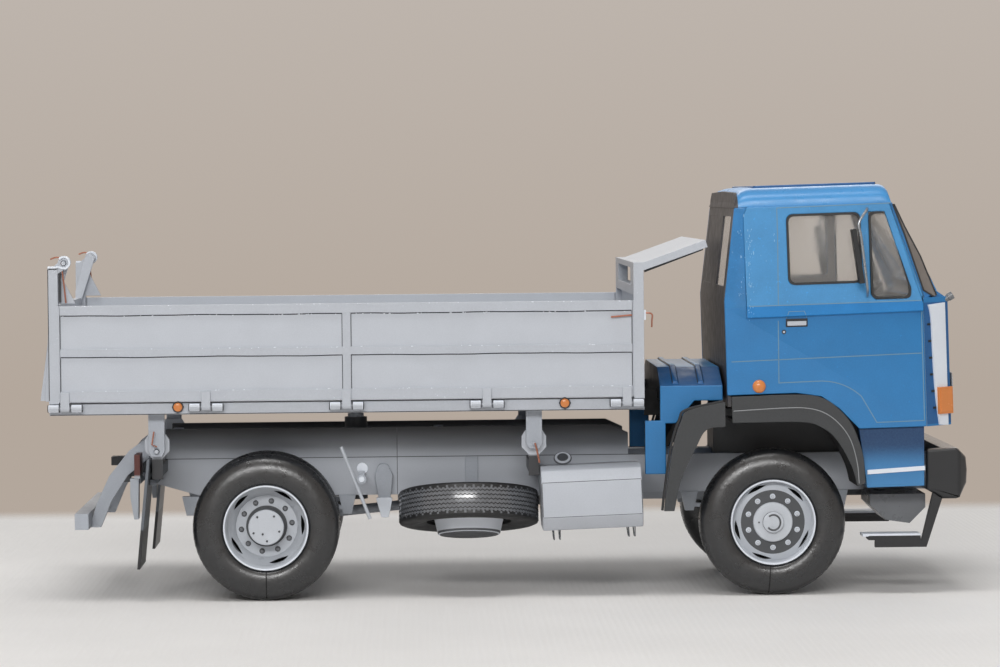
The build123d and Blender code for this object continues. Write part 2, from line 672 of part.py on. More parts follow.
def on_screen(z, depth=0.0):
    """A point on the windscreen's outer face at one height, or that far behind it."""
    return (SCREEN_FOOT_X - (z - SCREEN_FOOT_Z) * screen_slope - depth, z)


SCREEN_LOW_Z = SCREEN_FOOT_Z + 0.9
SCREEN_HIGH_Z = WINDOW_TOP_Z
FRAME_HALF_WIDTH = EAVES_Y - 0.7
with BuildPart() as cab_front:
    # lower wall, wrapped round both corners
    plan_shape(
        [
            (SIDE_FRONT_X, -CAB_HALF_WIDTH),
            (CAB_FRONT_X - 0.5, -FRONT_CORNER_Y),
            (CAB_FRONT_X, 0),
            (CAB_FRONT_X - 0.5, FRONT_CORNER_Y),
            (SIDE_FRONT_X, CAB_HALF_WIDTH),
            (SIDE_FRONT_X, WALL_INNER_Y),
            (CAB_FRONT_X - 1.1, FRONT_CORNER_Y - 0.4),
            (CAB_FRONT_X - 0.6, 0),
            (CAB_FRONT_X - 1.1, -FRONT_CORNER_Y + 0.4),
            (SIDE_FRONT_X, -WALL_INNER_Y),
        ],
        CAB_SIDE_BOTTOM_Z,
        WAIST_Z,
    )
    # cowl from the front wall back to the windscreen
    plan_shape(
        [
            (SIDE_FRONT_X, -CAB_HALF_WIDTH),
            (CAB_FRONT_X - 0.5, -FRONT_CORNER_Y),
            (CAB_FRONT_X, 0),
            (CAB_FRONT_X - 0.5, FRONT_CORNER_Y),
            (SIDE_FRONT_X, CAB_HALF_WIDTH),
        ],
        WAIST_Z,
        WAIST_Z + 0.5,
    )
    side_shape(
        [
            (SIDE_FRONT_X + 0.6, WAIST_Z + 0.5),
            (CAB_FRONT_X - 0.9, WAIST_Z + 0.5),
            (SCREEN_FOOT_X, SCREEN_FOOT_Z),
            (SCREEN_FOOT_X - 0.6, SCREEN_FOOT_Z),
        ],
        -FRONT_CORNER_Y,
        FRONT_CORNER_Y,
    )
    # windscreen frame leaning back to the roof
    side_shape(
        [
            on_screen(SCREEN_FOOT_Z),
            on_screen(EAVES_Z),
            on_screen(EAVES_Z, 0.5),
            on_screen(SCREEN_FOOT_Z, 0.6),
        ],
        -FRAME_HALF_WIDTH,
        FRAME_HALF_WIDTH,
    )
    # corner posts close the frame against the side walls
    for sign in (-1, 1):
        post_y = sorted((sign * FRONT_CORNER_Y, sign * FRAME_HALF_WIDTH))
        side_shape(
            [
                (PILLAR_FOOT_X + 0.1, WAIST_Z + 0.5),
                (SIDE_FRONT_X + 0.9, WAIST_Z + 0.5),
                on_screen(SCREEN_FOOT_Z, 0.1),
                on_screen(EAVES_Z, 0.1),
                (PILLAR_TOP_X + 0.1, EAVES_Z),
            ],
            *post_y,
        )
    pane_cut = (-SCREEN_HALF_WIDTH, SCREEN_HALF_WIDTH, SCREEN_LOW_Z, SCREEN_HIGH_Z)
    block(PILLAR_TOP_X - 2, CAB_FRONT_X + 1, *pane_cut, Mode.SUBTRACT)
    tip_cab(cab_front)
cab_front.part.label = "cab_front"
export_step(cab_front.part, "parts/cab_front.step")

with BuildPart() as cab_floor:
    nose_y = FRONT_CORNER_Y - 0.5
    floor_z = (CAB_FLOOR_Z, CAB_FLOOR_Z + CARD)
    block(CAB_REAR_X + 0.7, CAB_FRONT_X - 1.2, -nose_y, nose_y, *floor_z)
    block(CAB_REAR_X + 0.7, SIDE_FRONT_X - 0.1, -WALL_INNER_Y, WALL_INNER_Y, *floor_z)
    tip_cab(cab_floor)
cab_floor.part.label = "cab_floor"
export_step(cab_floor.part, "parts/cab_floor.step")

PANE = 0.2
with BuildPart() as cab_glass:
    side_shape(
        [
            on_screen(SCREEN_LOW_Z, 0.1),
            on_screen(SCREEN_HIGH_Z, 0.1),
            on_screen(SCREEN_HIGH_Z, 0.1 + PANE),
            on_screen(SCREEN_LOW_Z, 0.1 + PANE),
        ],
        -SCREEN_HALF_WIDTH,
        SCREEN_HALF_WIDTH,
    )
    lean = (CAB_HALF_WIDTH - EAVES_Y) / (EAVES_Z - WAIST_Z)
    for sign in (-1, 1):
        low, high = sorted((sign * (CAB_HALF_WIDTH + 1.0), sign * (WALL_INNER_Y - 1.5)))
        with BuildPart(mode=Mode.PRIVATE) as sheet:
            end_shape(
                [
                    (sign * (CAB_HALF_WIDTH - 0.3), WAIST_Z),
                    (sign * (EAVES_Y - 0.3), EAVES_Z),
                    (sign * (EAVES_Y - 0.3 - PANE), EAVES_Z),
                    (sign * (CAB_HALF_WIDTH - 0.3 - PANE), WAIST_Z),
                ],
                CAB_REAR_X,
                SIDE_FRONT_X,
            )
        with BuildPart(mode=Mode.PRIVATE) as outlines:
            round_window(*DOOR_WINDOW, low, high, 0.8, Mode.ADD)
            side_shape(QUARTER_WINDOW, low, high)
        add(sheet.part & outlines.part)
    back_slope = (CAB_TOP_REAR_X - CAB_REAR_X) / (EAVES_Z - WAIST_Z - 1.0)
    low_x = CAB_REAR_X + (WINDOW_SILL_Z - WAIST_Z - 1.0) * back_slope + 0.15
    high_x = CAB_REAR_X + (WINDOW_TOP_Z - WAIST_Z - 1.0) * back_slope + 0.15
    for sign in (-1, 1):
        window_y = sorted(sign * y for y in BACK_WINDOW_Y)
        side_shape(
            [
                (low_x, WINDOW_SILL_Z),
                (high_x, WINDOW_TOP_Z),
                (high_x + PANE, WINDOW_TOP_Z),
                (low_x + PANE, WINDOW_SILL_Z),
            ],
            *window_y,
        )
    tip_cab(cab_glass)
cab_glass.part.label = "cab_glass"
export_step(cab_glass.part, "parts/cab_glass.step")

SEAT_OUTER_Y = CAB_HALF_WIDTH - 5.3
SEAT_INNER_Y = SEAT_OUTER_Y - 9.5
with BuildPart() as seats:
    for sign in (-1, 1):
        low, high = sorted((sign * SEAT_INNER_Y, sign * SEAT_OUTER_Y))
        side_shape(
            [
                (CAB_REAR_X + 2.4, CAB_FLOOR_Z + CARD),
                (CAB_REAR_X + 2.4, CAB_FLOOR_Z + 14.2),
                (CAB_REAR_X + 4.2, CAB_FLOOR_Z + 14.2),
                (CAB_REAR_X + 5.6, CAB_FLOOR_Z + 6.6),
                (CAB_REAR_X + 12.6, CAB_FLOOR_Z + 7.2),
                (CAB_REAR_X + 12.6, CAB_FLOOR_Z + 4.6),
                (CAB_REAR_X + 11.4, CAB_FLOOR_Z + CARD),
            ],
            low,
            high,
        )
    tip_cab(seats)
seats.part.label = "seats"
export_step(seats.part, "parts/seats.step")

with BuildPart() as dashboard:
    side_shape(
        [
            (CAB_FRONT_X - 1.8, CAB_FLOOR_Z + CARD),
            (CAB_FRONT_X - 6.0, CAB_FLOOR_Z + CARD),
            (CAB_FRONT_X - 6.6, WAIST_Z - 1.6),
            (CAB_FRONT_X - 5.8, WAIST_Z - 0.1),
            (CAB_FRONT_X - 1.8, WAIST_Z - 0.1),
        ],
        -FRONT_CORNER_Y + 1.0,
        FRONT_CORNER_Y - 1.0,
    )
    driver_y = (SEAT_INNER_Y + SEAT_OUTER_Y) / 2
    wheel_middle = (CAB_FRONT_X - 9.0, driver_y, WAIST_Z - 0.4)
    wheel_plane = Plane(origin=wheel_middle, z_dir=(-0.5, 0, 0.87))
    rod((CAB_FRONT_X - 5.9, driver_y, WAIST_Z - 5.7), wheel_middle, 0.5)
    with BuildSketch(wheel_plane) as wheel_ring:
        Circle(4.2)
        Circle(3.6, mode=Mode.SUBTRACT)
        Rectangle(7.6, 0.7)
    extrude(wheel_ring.sketch, amount=0.6)
    tip_cab(dashboard)
dashboard.part.label = "dashboard"
export_step(dashboard.part, "parts/dashboard.step")


def front_x(y):
    """The cab's front face, bowed forward in the middle."""
    return CAB_FRONT_X - 0.5 * abs(y) / FRONT_CORNER_Y


def on_front(y0, y1, lift, thick, z0, z1):
    """A panel lying on the front face between two places across the truck."""
    middle = [0] if y0 < 0 < y1 else []
    stations = [y0] + middle + [y1]
    near = [(front_x(y) + lift, y) for y in stations]
    far = [(front_x(y) + lift + thick, y) for y in reversed(stations)]
    plan_shape(near + far, z0, z1)


with BuildPart() as grille:
    grille_y = FRONT_CORNER_Y - 2.7
    on_front(-grille_y, grille_y, 0, 0.3, CAB_SIDE_BOTTOM_Z + 2.2, CAB_SIDE_BOTTOM_Z + 8.4)
    for sign in (-1, 1):
        lamp_y = sorted((sign * (grille_y - 5.1), sign * (grille_y - 0.3)))
        on_front(*lamp_y, 0.25, 0.3, CAB_SIDE_BOTTOM_Z + 3.2, CAB_SIDE_BOTTOM_Z + 7.2)
    tip_cab(grille)
grille.part.label = "grille"
export_step(grille.part, "parts/grille.step")

corner_run = (CAB_FRONT_X - 0.5 - SIDE_FRONT_X, CAB_HALF_WIDTH - FRONT_CORNER_Y)
corner_length = (corner_run[0] ** 2 + corner_run[1] ** 2) ** 0.5
out_x = corner_run[1] / corner_length
out_y = corner_run[0] / corner_length
DEFLECTOR_THICK = 0.35


def corner_strip(near, far, lift, thick, z0, z1):
    """A strip standing on the right front corner, between two shares of the corner's length."""
    corner = []
    for share, height in ((near, lift), (far, lift), (far, lift + thick), (near, lift + thick)):
        corner.append(
            (
                SIDE_FRONT_X + corner_run[0] * share + out_x * height,
                -CAB_HALF_WIDTH + corner_run[1] * share - out_y * height,
            )
        )
    plan_shape(corner, z0, z1)


with BuildPart() as corner_deflectors:
    corner_strip(0.26, 0.92, 0.0, DEFLECTOR_THICK, CAB_SIDE_BOTTOM_Z, WAIST_Z - 0.3)
    mirror(about=Plane.XZ)
    tip_cab(corner_deflectors)
corner_deflectors.part.label = "corner_deflectors"
export_step(corner_deflectors.part, "parts/corner_deflectors.step")

with BuildPart() as indicators:
    lamp_low_z = CAB_SIDE_BOTTOM_Z + 1.6
    corner_strip(0.42, 1.0, DEFLECTOR_THICK, 0.3, lamp_low_z, lamp_low_z + 3.7)
    repeater = (CAB_REAR_X + 4.4, CAB_FLOOR_Z + 1.1)
    rod(
        (repeater[0], -CAB_HALF_WIDTH, repeater[1]),
        (repeater[0], -CAB_HALF_WIDTH - 0.6, repeater[1]),
        0.95,
    )
    mirror(about=Plane.XZ)
    tip_cab(indicators)
indicators.part.label = "indicators"
export_step(indicators.part, "parts/indicators.step")

MIRROR_Y = CAB_HALF_WIDTH + 2.4
MIRROR_TOP_Z = EAVES_Z - 3.3
MIRROR_FOOT_Z = WAIST_Z + 3.0
MIRROR_X = PILLAR_TOP_X - 5.5
with BuildPart() as mirrors:
    side_shape(
        [
            (MIRROR_X, MIRROR_TOP_Z),
            (MIRROR_X + 0.7, MIRROR_TOP_Z + 0.1),
            (MIRROR_X + 2.0, MIRROR_FOOT_Z + 0.1),
            (MIRROR_X + 1.3, MIRROR_FOOT_Z),
        ],
        -MIRROR_Y - 1.8,
        -MIRROR_Y + 0.6,
    )
    arm = [
        (MIRROR_X + 1.8, -EAVES_Y - 0.45, EAVES_Z - 0.7),
        (MIRROR_X + 0.85, -MIRROR_Y, MIRROR_TOP_Z + 0.6),
        (MIRROR_X + 2.35, -MIRROR_Y, MIRROR_FOOT_Z - 0.4),
        (MIRROR_X + 2.35, -CAB_HALF_WIDTH - 0.35, MIRROR_FOOT_Z - 1.0),
    ]
    for start, end in zip(arm, arm[1:]):
        rod(start, end, 0.2)
    for corner in arm[1:3]:
        with Locations(corner):
            Sphere(0.2)
    mirror(about=Plane.XZ)
    tip_cab(mirrors)
mirrors.part.label = "mirrors"
export_step(mirrors.part, "parts/mirrors.step")

# ---------------------------------------------------------------- steps, bumper, mudguards
STEP_BOX_Y = CAB_HALF_WIDTH - 0.6
STEP_BOX_BOTTOM_Z = CAB_SIDE_BOTTOM_Z - 8.2
with BuildPart() as step_boxes:
    side_shape(
        [
            (ARCH_KNEE_X, CAB_SIDE_BOTTOM_Z),
            (ARCH_KNEE_X + 0.9, STEP_BOX_BOTTOM_Z),
            (SIDE_FRONT_X - 0.5, STEP_BOX_BOTTOM_Z),
            (SIDE_FRONT_X - 0.3, CAB_SIDE_BOTTOM_Z),
        ],
        -STEP_BOX_Y,
        -STEP_BOX_Y + 3.0,
    )
    mirror(about=Plane.XZ)
    tip_cab(step_boxes)
step_boxes.part.label = "step_boxes"
export_step(step_boxes.part, "parts/step_boxes.step")

BUMPER_REAR_X = BUMPER_FRONT_X - 5.8
BUMPER_HALF_WIDTH = CAB_HALF_WIDTH - 1.2
BUMPER_INNER_X = BUMPER_FRONT_X - 3.7
with BuildPart() as bumper:
    plan_shape(
        [
            (BUMPER_REAR_X, -BUMPER_HALF_WIDTH),
            (BUMPER_FRONT_X - 1.2, -BUMPER_HALF_WIDTH),
            (BUMPER_FRONT_X, -BUMPER_HALF_WIDTH + 1.4),
            (BUMPER_FRONT_X, BUMPER_HALF_WIDTH - 1.4),
            (BUMPER_FRONT_X - 1.2, BUMPER_HALF_WIDTH),
            (BUMPER_REAR_X, BUMPER_HALF_WIDTH),
            (BUMPER_REAR_X, BUMPER_HALF_WIDTH - 1.2),
            (BUMPER_INNER_X, BUMPER_HALF_WIDTH - 2.0),
            (BUMPER_INNER_X, -BUMPER_HALF_WIDTH + 2.0),
            (BUMPER_REAR_X, -BUMPER_HALF_WIDTH + 1.2),
        ],
        13.1,
        20.2,
    )
    side_shape(
        [
            (BUMPER_REAR_X, 19.9),
            (BUMPER_FRONT_X - 1.6, 20.2),
            (BUMPER_FRONT_X - 0.2, 18.8),
            (BUMPER_FRONT_X, 17.0),
            (BUMPER_FRONT_X - 0.1, 15.2),
            (BUMPER_FRONT_X - 1.3, 13.1),
            (BUMPER_FRONT_X - 3.6, 13.1),
            (BUMPER_REAR_X, 14.4),
        ],
        -BUMPER_HALF_WIDTH - 1.0,
        BUMPER_HALF_WIDTH + 1.0,
        Mode.INTERSECT,
    )
    for sign in (-1, 1):
        lamp_y = sorted((sign * (BUMPER_HALF_WIDTH - 8.6), sign * (BUMPER_HALF_WIDTH - 3.6)))
        block(BUMPER_FRONT_X - 0.5, BUMPER_FRONT_X + 1, *lamp_y, 15.6, 18.4, Mode.SUBTRACT)
    # two stays to the ends of the frame rails
    for sign in (-1, 1):
        stay_y = sorted((sign * RAIL_INNER_Y, sign * RAIL_OUTER_Y))
        block(BUMPER_FRONT_X - 3.8, BUMPER_FRONT_X - 3.6, *stay_y, RAIL_BOTTOM_Z + 0.4, RAIL_TOP_Z)
bumper.part.label = "bumper"
export_step(bumper.part, "parts/bumper.step")


def bumper_underside(x):
    """Height of the bumper's sloping lower edge behind its deepest line."""
    deepest_x = BUMPER_FRONT_X - 3.6
    return 13.1 + 1.3 * (deepest_x - x) / (deepest_x - BUMPER_REAR_X)


STEP_TOP_X = (FRONT_AXLE_X + 22.0, FRONT_AXLE_X + 23.3)
STEP_FACE_Y = BUMPER_HALF_WIDTH + 0.3
with BuildPart() as boarding_steps:
    side_shape(
        [
            (FRONT_AXLE_X + 14.0, 6.5),
            (FRONT_AXLE_X + 21.1, 6.5),
            (STEP_TOP_X[1], bumper_underside(STEP_TOP_X[1])),
            (STEP_TOP_X[0], bumper_underside(STEP_TOP_X[0])),
            (FRONT_AXLE_X + 20.4, 7.5),
            (FRONT_AXLE_X + 14.0, 7.5),
        ],
        -STEP_FACE_Y,
        -STEP_FACE_Y + 0.9,
    )
    block(FRONT_AXLE_X + 13.1, FRONT_AXLE_X + 20.3, -STEP_FACE_Y, -STEP_FACE_Y + 3.3, 7.5, 8.1)
    mirror(about=Plane.XZ)
boarding_steps.part.label = "boarding_steps"
export_step(boarding_steps.part, "parts/boarding_steps.step")

GUARD_Y = CAB_HALF_WIDTH + 0.1
GUARD_INNER_Y = 12.5
CAB_GUARD_OUTER = [
    (CAB_REAR_X + 0.6, CAB_FLOOR_Z - 0.2),
    (ARCH_LIP_X + 0.2, CAB_FLOOR_Z - 0.2),
    (ARCH_LIP_X + 3.4, CAB_FLOOR_Z - 0.8),
    (ARCH_LIP_X + 5.7, CAB_FLOOR_Z - 2.5),
    (ARCH_KNEE_X - 0.1, CAB_SIDE_BOTTOM_Z - 0.7),
    (ARCH_KNEE_X + 0.6, CAB_SIDE_BOTTOM_Z - 5.1),
    (ARCH_KNEE_X + 0.65, CAB_SIDE_BOTTOM_Z - 7.5),
]
CAB_GUARD_INNER = [
    (FRONT_AXLE_X + 11.2, 14.6),
    (FRONT_AXLE_X + 10.5, 17.4),
    (FRONT_AXLE_X + 8.6, 21.0),
    (FRONT_AXLE_X + 6.6, 22.8),
    (FRONT_AXLE_X + 3.7, 23.7),
    (CAB_REAR_X + 0.6, 23.9),
]
REAR_GUARD_OUTER = [
    (CAB_REAR_X - 0.3, 26.8),
    (FRONT_AXLE_X - 11.8, 25.7),
    (FRONT_AXLE_X - 12.6, 24.3),
    (FRONT_AXLE_X - 13.6, 20.9),
    (FRONT_AXLE_X - 14.7, 15.2),
    (FRONT_AXLE_X - 15.1, 11.9),
]
REAR_GUARD_INNER = [
    (FRONT_AXLE_X - 13.7, 11.9),
    (FRONT_AXLE_X - 12.7, 16.3),
    (FRONT_AXLE_X - 10.7, 20.5),
    (FRONT_AXLE_X - 9.2, 23.0),
    (CAB_REAR_X - 0.3, 23.4),
]


def mudguard(outer, inner, flange_y):
    """Side flange between two outlines, and the guard over the tyre behind it."""
    side_shape(outer + inner, -GUARD_Y, -flange_y)
    lifted = [(x + (0.5 if x > FRONT_AXLE_X else -0.5), z + 0.5) for x, z in reversed(inner)]
    side_shape(inner + lifted, -flange_y, -GUARD_INNER_Y)


with BuildPart() as cab_mudguards:
    mudguard(CAB_GUARD_OUTER, CAB_GUARD_INNER, STEP_BOX_Y + 0.05)
    mirror(about=Plane.XZ)
    tip_cab(cab_mudguards)
cab_mudguards.part.label = "cab_mudguards"
export_step(cab_mudguards.part, "parts/cab_mudguards.step")

with BuildPart() as chassis_mudguards:
    mudguard(REAR_GUARD_OUTER, REAR_GUARD_INNER, STEP_BOX_Y)
    block(FRONT_AXLE_X - 12.9, FRONT_AXLE_X - 12.1, -GUARD_INNER_Y - 0.2, -RAIL_OUTER_Y, 16.6, 17.4)
    mirror(about=Plane.XZ)
chassis_mudguards.part.label = "chassis_mudguards"
export_step(chassis_mudguards.part, "parts/chassis_mudguards.step")

COVER_REAR_X = BODY_FRONT_X + 2.3
COVER_HALF_WIDTH = CAB_HALF_WIDTH - 2.8
COVER_RIDGE_Y = COVER_HALF_WIDTH - 6.8
COVER_EDGE_Z = CAB_FLOOR_Z + 1.3
COVER_TOP_Z = CAB_FLOOR_Z + 3.6
with BuildPart() as engine_cover:
    cover_near = [
        (-COVER_HALF_WIDTH, COVER_EDGE_Z - 2.1),
        (-COVER_HALF_WIDTH, COVER_EDGE_Z),
        (-COVER_RIDGE_Y, COVER_TOP_Z),
    ]
    cover_far = [(-y, z) for y, z in reversed(cover_near)]
    end_shape(cover_near + cover_far, COVER_REAR_X, CAB_REAR_X - 0.4)
    # panels below the cover, between the tank and the mudguard
    for sign in (-1, 1):
        panel_y = sorted((sign * (COVER_HALF_WIDTH - 0.8), sign * COVER_HALF_WIDTH))
        block(BODY_FRONT_X + 0.2, COVER_REAR_X + 0.8, *panel_y, 16.8, 24.2)
        side_shape(
            [
                (COVER_REAR_X, 23.8),
                (COVER_REAR_X + 2.2, 23.8),
                (COVER_REAR_X + 4.2, 26.2),
                (COVER_REAR_X + 4.8, COVER_EDGE_Z - 2.1),
                (COVER_REAR_X, COVER_EDGE_Z - 2.1),
            ],
            *panel_y,
        )
    rib_near = [
        (-COVER_HALF_WIDTH + 0.6, COVER_EDGE_Z + 0.1),
        (-COVER_HALF_WIDTH + 0.8, COVER_EDGE_Z + 0.6),
        (-COVER_RIDGE_Y + 0.1, COVER_TOP_Z + 0.3),
    ]
    rib_far = [(-y, z) for y, z in reversed(rib_near)]
    for rib_x in (COVER_REAR_X + 2.2, COVER_REAR_X + 5.7):
        end_shape(rib_near + rib_far, rib_x - 0.4, rib_x + 0.4)
engine_cover.part.label = "engine_cover"
export_step(engine_cover.part, "parts/engine_cover.step")

# ---------------------------------------------------------------- rear end of the chassis
with BuildPart() as mudflaps:
    side_shape(
        [
            (REAR_AXLE_X - 16.2, 19.7),
            (REAR_AXLE_X - 15.8, 19.7),
            (REAR_AXLE_X - 17.3, 4.6),
            (REAR_AXLE_X - 17.7, 4.6),
        ],
        -WHEEL_FACE_Y + 0.3,
        -TWIN_INNER_Y + 0.4,
    )
    # a stay from the frame rail carries each flap
    block(REAR_AXLE_X - 16.0, REAR_AXLE_X - 15.2, -18.0, -RAIL_OUTER_Y, 15.9, 16.7)
    mirror(about=Plane.XZ)
mudflaps.part.label = "mudflaps"
export_step(mudflaps.part, "parts/mudflaps.step")

GUARD_ARM_Y = 13.0
with BuildPart() as underrun_guard:
    side_shape(
        [
            (REAR_AXLE_X - 16.4, 22.4),
            (REAR_AXLE_X - 19.2, 20.4),
            (REAR_AXLE_X - 22.0, 16.9),
            (REAR_AXLE_X - 23.8, 13.0),
            (REAR_AXLE_X - 24.8, 9.8),
            (REAR_AXLE_X - 23.2, 9.8),
            (REAR_AXLE_X - 21.6, 13.6),
            (REAR_AXLE_X - 19.4, 17.0),
            (REAR_AXLE_X - 16.4, 19.4),
        ],
        -GUARD_ARM_Y - 0.6,
        -GUARD_ARM_Y + 0.6,
    )
    block(REAR_AXLE_X - 16.4, REAR_AXLE_X - 15.2, -GUARD_ARM_Y - 0.6, -RAIL_OUTER_Y, 19.9, 20.7)
    block(SUBFRAME_REAR_X - 0.8, SUBFRAME_REAR_X, -GUARD_ARM_Y - 0.6, -RAIL_INNER_Y, 19.9, 20.7)
    mirror(about=Plane.XZ)
    block(REAR_AXLE_X - 26.3, REAR_AXLE_X - 24.4, -20.0, 20.0, 10.0, 12.2)
underrun_guard.part.label = "underrun_guard"
export_step(underrun_guard.part, "parts/underrun_guard.step")

COUPLING_X = REAR_AXLE_X - 20.0
TOW_PIN_HOLE_RADIUS = 0.5
with BuildPart() as tow_coupling:
    block(RAIL_REAR_X - 0.6, RAIL_REAR_X, -RAIL_OUTER_Y, RAIL_OUTER_Y, RAIL_BOTTOM_Z + 2.4, RAIL_TOP_Z)
    rod((RAIL_REAR_X - 0.6, 0, 17.0), (COUPLING_X - 0.2, 0, 17.0), 1.1)
    block(COUPLING_X - 2.6, COUPLING_X, -1.5, 1.5, 15.2, 18.8)
    block(COUPLING_X - 2.8, COUPLING_X - 0.5, -1.6, 1.6, 16.4, 17.6, Mode.SUBTRACT)
    rod((COUPLING_X - 1.4, 0, 14.0), (COUPLING_X - 1.4, 0, 20.0), TOW_PIN_HOLE_RADIUS, Mode.SUBTRACT)
tow_coupling.part.label = "tow_coupling"
export_step(tow_coupling.part, "parts/tow_coupling.step")

with BuildPart() as rear_lamps:
    lamp_rear_x = RAIL_REAR_X - 0.8
    block(lamp_rear_x, RAIL_REAR_X, -20.6, -15.2, 17.0, 20.3)
    # arm from the rear crossmember, and a tapered bracket under the lamp
    block(RAIL_REAR_X - 0.6, RAIL_REAR_X, -19.0, -RAIL_OUTER_Y, 16.2, 17.0)
    side_shape(
        [
            (RAIL_REAR_X - 1.4, 17.0),
            (RAIL_REAR_X - 0.2, 17.0),
            (RAIL_REAR_X - 0.3, 11.4),
            (RAIL_REAR_X - 0.9, 11.4),
            (RAIL_REAR_X - 1.4, 14.4),
        ],
        -20.4,
        -18.2,
    )
    mirror(about=Plane.XZ)
rear_lamps.part.label = "rear_lamps"
export_step(rear_lamps.part, "parts/rear_lamps.step")

# ---------------------------------------------------------------- hoist
STAGE_RADII = [1.15, 0.75]  # outer radius of each telescopic stage
HOIST_HEAD_Z = FLOOR_BOTTOM_Z - 1.2
BARREL_TOP_Z = HOIST_HEAD_Z - 1.4
BARREL_BOTTOM_Z = 12.4
with BuildPart() as hoist_barrel:
    rod((HOIST_X, 0, BARREL_BOTTOM_Z), (HOIST_X, 0, BARREL_TOP_Z), BARREL_RADIUS)
    bore_foot = (HOIST_X, 0, BARREL_BOTTOM_Z + 0.6)
    rod(bore_foot, (HOIST_X, 0, BARREL_TOP_Z), STAGE_RADII[0] + 0.12, Mode.SUBTRACT)
    for sign in (-1, 1):
        trunnion_root = (HOIST_X, sign * (BARREL_RADIUS - 0.15), TRUNNION_Z)
        rod(trunnion_root, (HOIST_X, sign * 2.7, TRUNNION_Z), TRUNNION_RADIUS)
hoist_barrel.part.label = "hoist_barrel"
export_step(hoist_barrel.part, "parts/hoist_barrel.step")

with BuildPart() as hoist_stage:
    rod((HOIST_X, 0, BARREL_BOTTOM_Z + 0.8), (HOIST_X, 0, BARREL_TOP_Z + 0.5), STAGE_RADII[0])
    stage_bore = STAGE_RADII[1] + 0.12
    rod((HOIST_X, 0, BARREL_BOTTOM_Z + 1.3), (HOIST_X, 0, BARREL_TOP_Z + 0.5), stage_bore, Mode.SUBTRACT)
hoist_stage.part.label = "hoist_stage"
export_step(hoist_stage.part, "parts/hoist_stage.step")

with BuildPart() as hoist_rod:
    rod((HOIST_X, 0, BARREL_BOTTOM_Z + 1.5), (HOIST_X, 0, BARREL_TOP_Z + 0.9), STAGE_RADII[1])
    with Locations((HOIST_X, 0, BARREL_TOP_Z + 1.3)):
        Sphere(0.8)
hoist_rod.part.label = "hoist_rod"
export_step(hoist_rod.part, "parts/hoist_rod.step")

# ---------------------------------------------------------------- tipping body
POST_FRONT_REAR_X = BODY_FRONT_X - POST_LENGTH
HINGE_COUNT = 5
HINGE_REAR_MARGIN = 2.2  # from the rear end of the body to the first hinge
HINGE_FRONT_MARGIN = 2.4  # from the last hinge to the front end of the body
HINGE_SPAN = BODY_FRONT_X - HINGE_FRONT_MARGIN - BODY_REAR_X - HINGE_REAR_MARGIN
HINGE_PITCH = HINGE_SPAN / (HINGE_COUNT - 1)
HINGE_STATIONS = [BODY_REAR_X + HINGE_REAR_MARGIN + i * HINGE_PITCH for i in range(HINGE_COUNT)]
STRAP_WIDTH = 1.2
KNUCKLE_WIDTH = 1.4
# bearers across the floor, spaced both ways from the hoist
BEARER_PITCH = 9.8
BEARERS_BEHIND = int((HOIST_X - BODY_REAR_X - 1.0) / BEARER_PITCH)
BEARERS_AHEAD = int((BODY_FRONT_X - HOIST_X - 0.6) / BEARER_PITCH)
BEARER_STATIONS = [HOIST_X - BEARER_PITCH * (i + 1) for i in range(BEARERS_BEHIND)]
BEARER_STATIONS += [HOIST_X + BEARER_PITCH * (i + 1) for i in range(BEARERS_AHEAD)]
LINING = 0.1  # sheet laid inside the load space, clear of posts, boards and gate arms
LINING_REAR_X = BODY_REAR_X + 4.2
LINING_FRONT_X = POST_FRONT_REAR_X - SIDE_GAP
with BuildPart() as bed_floor:
    block(BODY_REAR_X, BODY_FRONT_X, -SILL_FACE_Y, SILL_FACE_Y, FLOOR_BOTTOM_Z, FLOOR_TOP_Z)
    lining_y = BODY_HALF_WIDTH - 1.3
    block(LINING_REAR_X, LINING_FRONT_X, -lining_y, lining_y, FLOOR_TOP_Z, FLOOR_TOP_Z + LINING)
    for sign in (-1, 1):
        edge_y = sorted((sign * (SILL_FACE_Y - 0.7), sign * SILL_FACE_Y))
        block(BODY_REAR_X, BODY_FRONT_X, *edge_y, SILL_BOTTOM_Z, FLOOR_BOTTOM_Z)
    for bearer_x in BEARER_STATIONS:
        bearer_y = SILL_FACE_Y - 0.7
        bearer_z = (SILL_BOTTOM_Z + 0.1, FLOOR_BOTTOM_Z)
        block(bearer_x - 0.6, bearer_x + 0.6, -bearer_y, bearer_y, *bearer_z)
    # hinge knuckles either side of each strap, on short tabs off the edge rail
    for hinge_x in HINGE_STATIONS:
        for end in (-1, 1):
            near_x = hinge_x + end * (STRAP_WIDTH / 2 + SIDE_GAP)
            knuckle = sorted((near_x, near_x + end * KNUCKLE_WIDTH))
            for sign in (-1, 1):
                pin_line = (sign * HINGE_Y, HINGE_Z)
                rod((knuckle[0], *pin_line), (knuckle[1], *pin_line), KNUCKLE_RADIUS)
                tab_y = sorted((sign * SILL_FACE_Y, sign * HINGE_Y))
                block(*knuckle, *tab_y, HINGE_Z - 0.3, HINGE_Z + 0.3)
        for sign in (-1, 1):
            span = STRAP_WIDTH / 2 + SIDE_GAP + KNUCKLE_WIDTH
            rod(
                (hinge_x - span, sign * HINGE_Y, HINGE_Z),
                (hinge_x + span, sign * HINGE_Y, HINGE_Z),
                HINGE_PIN_RADIUS,
            )
bed_floor.part.label = "bed_floor"
export_step(bed_floor.part, "parts/bed_floor.step")

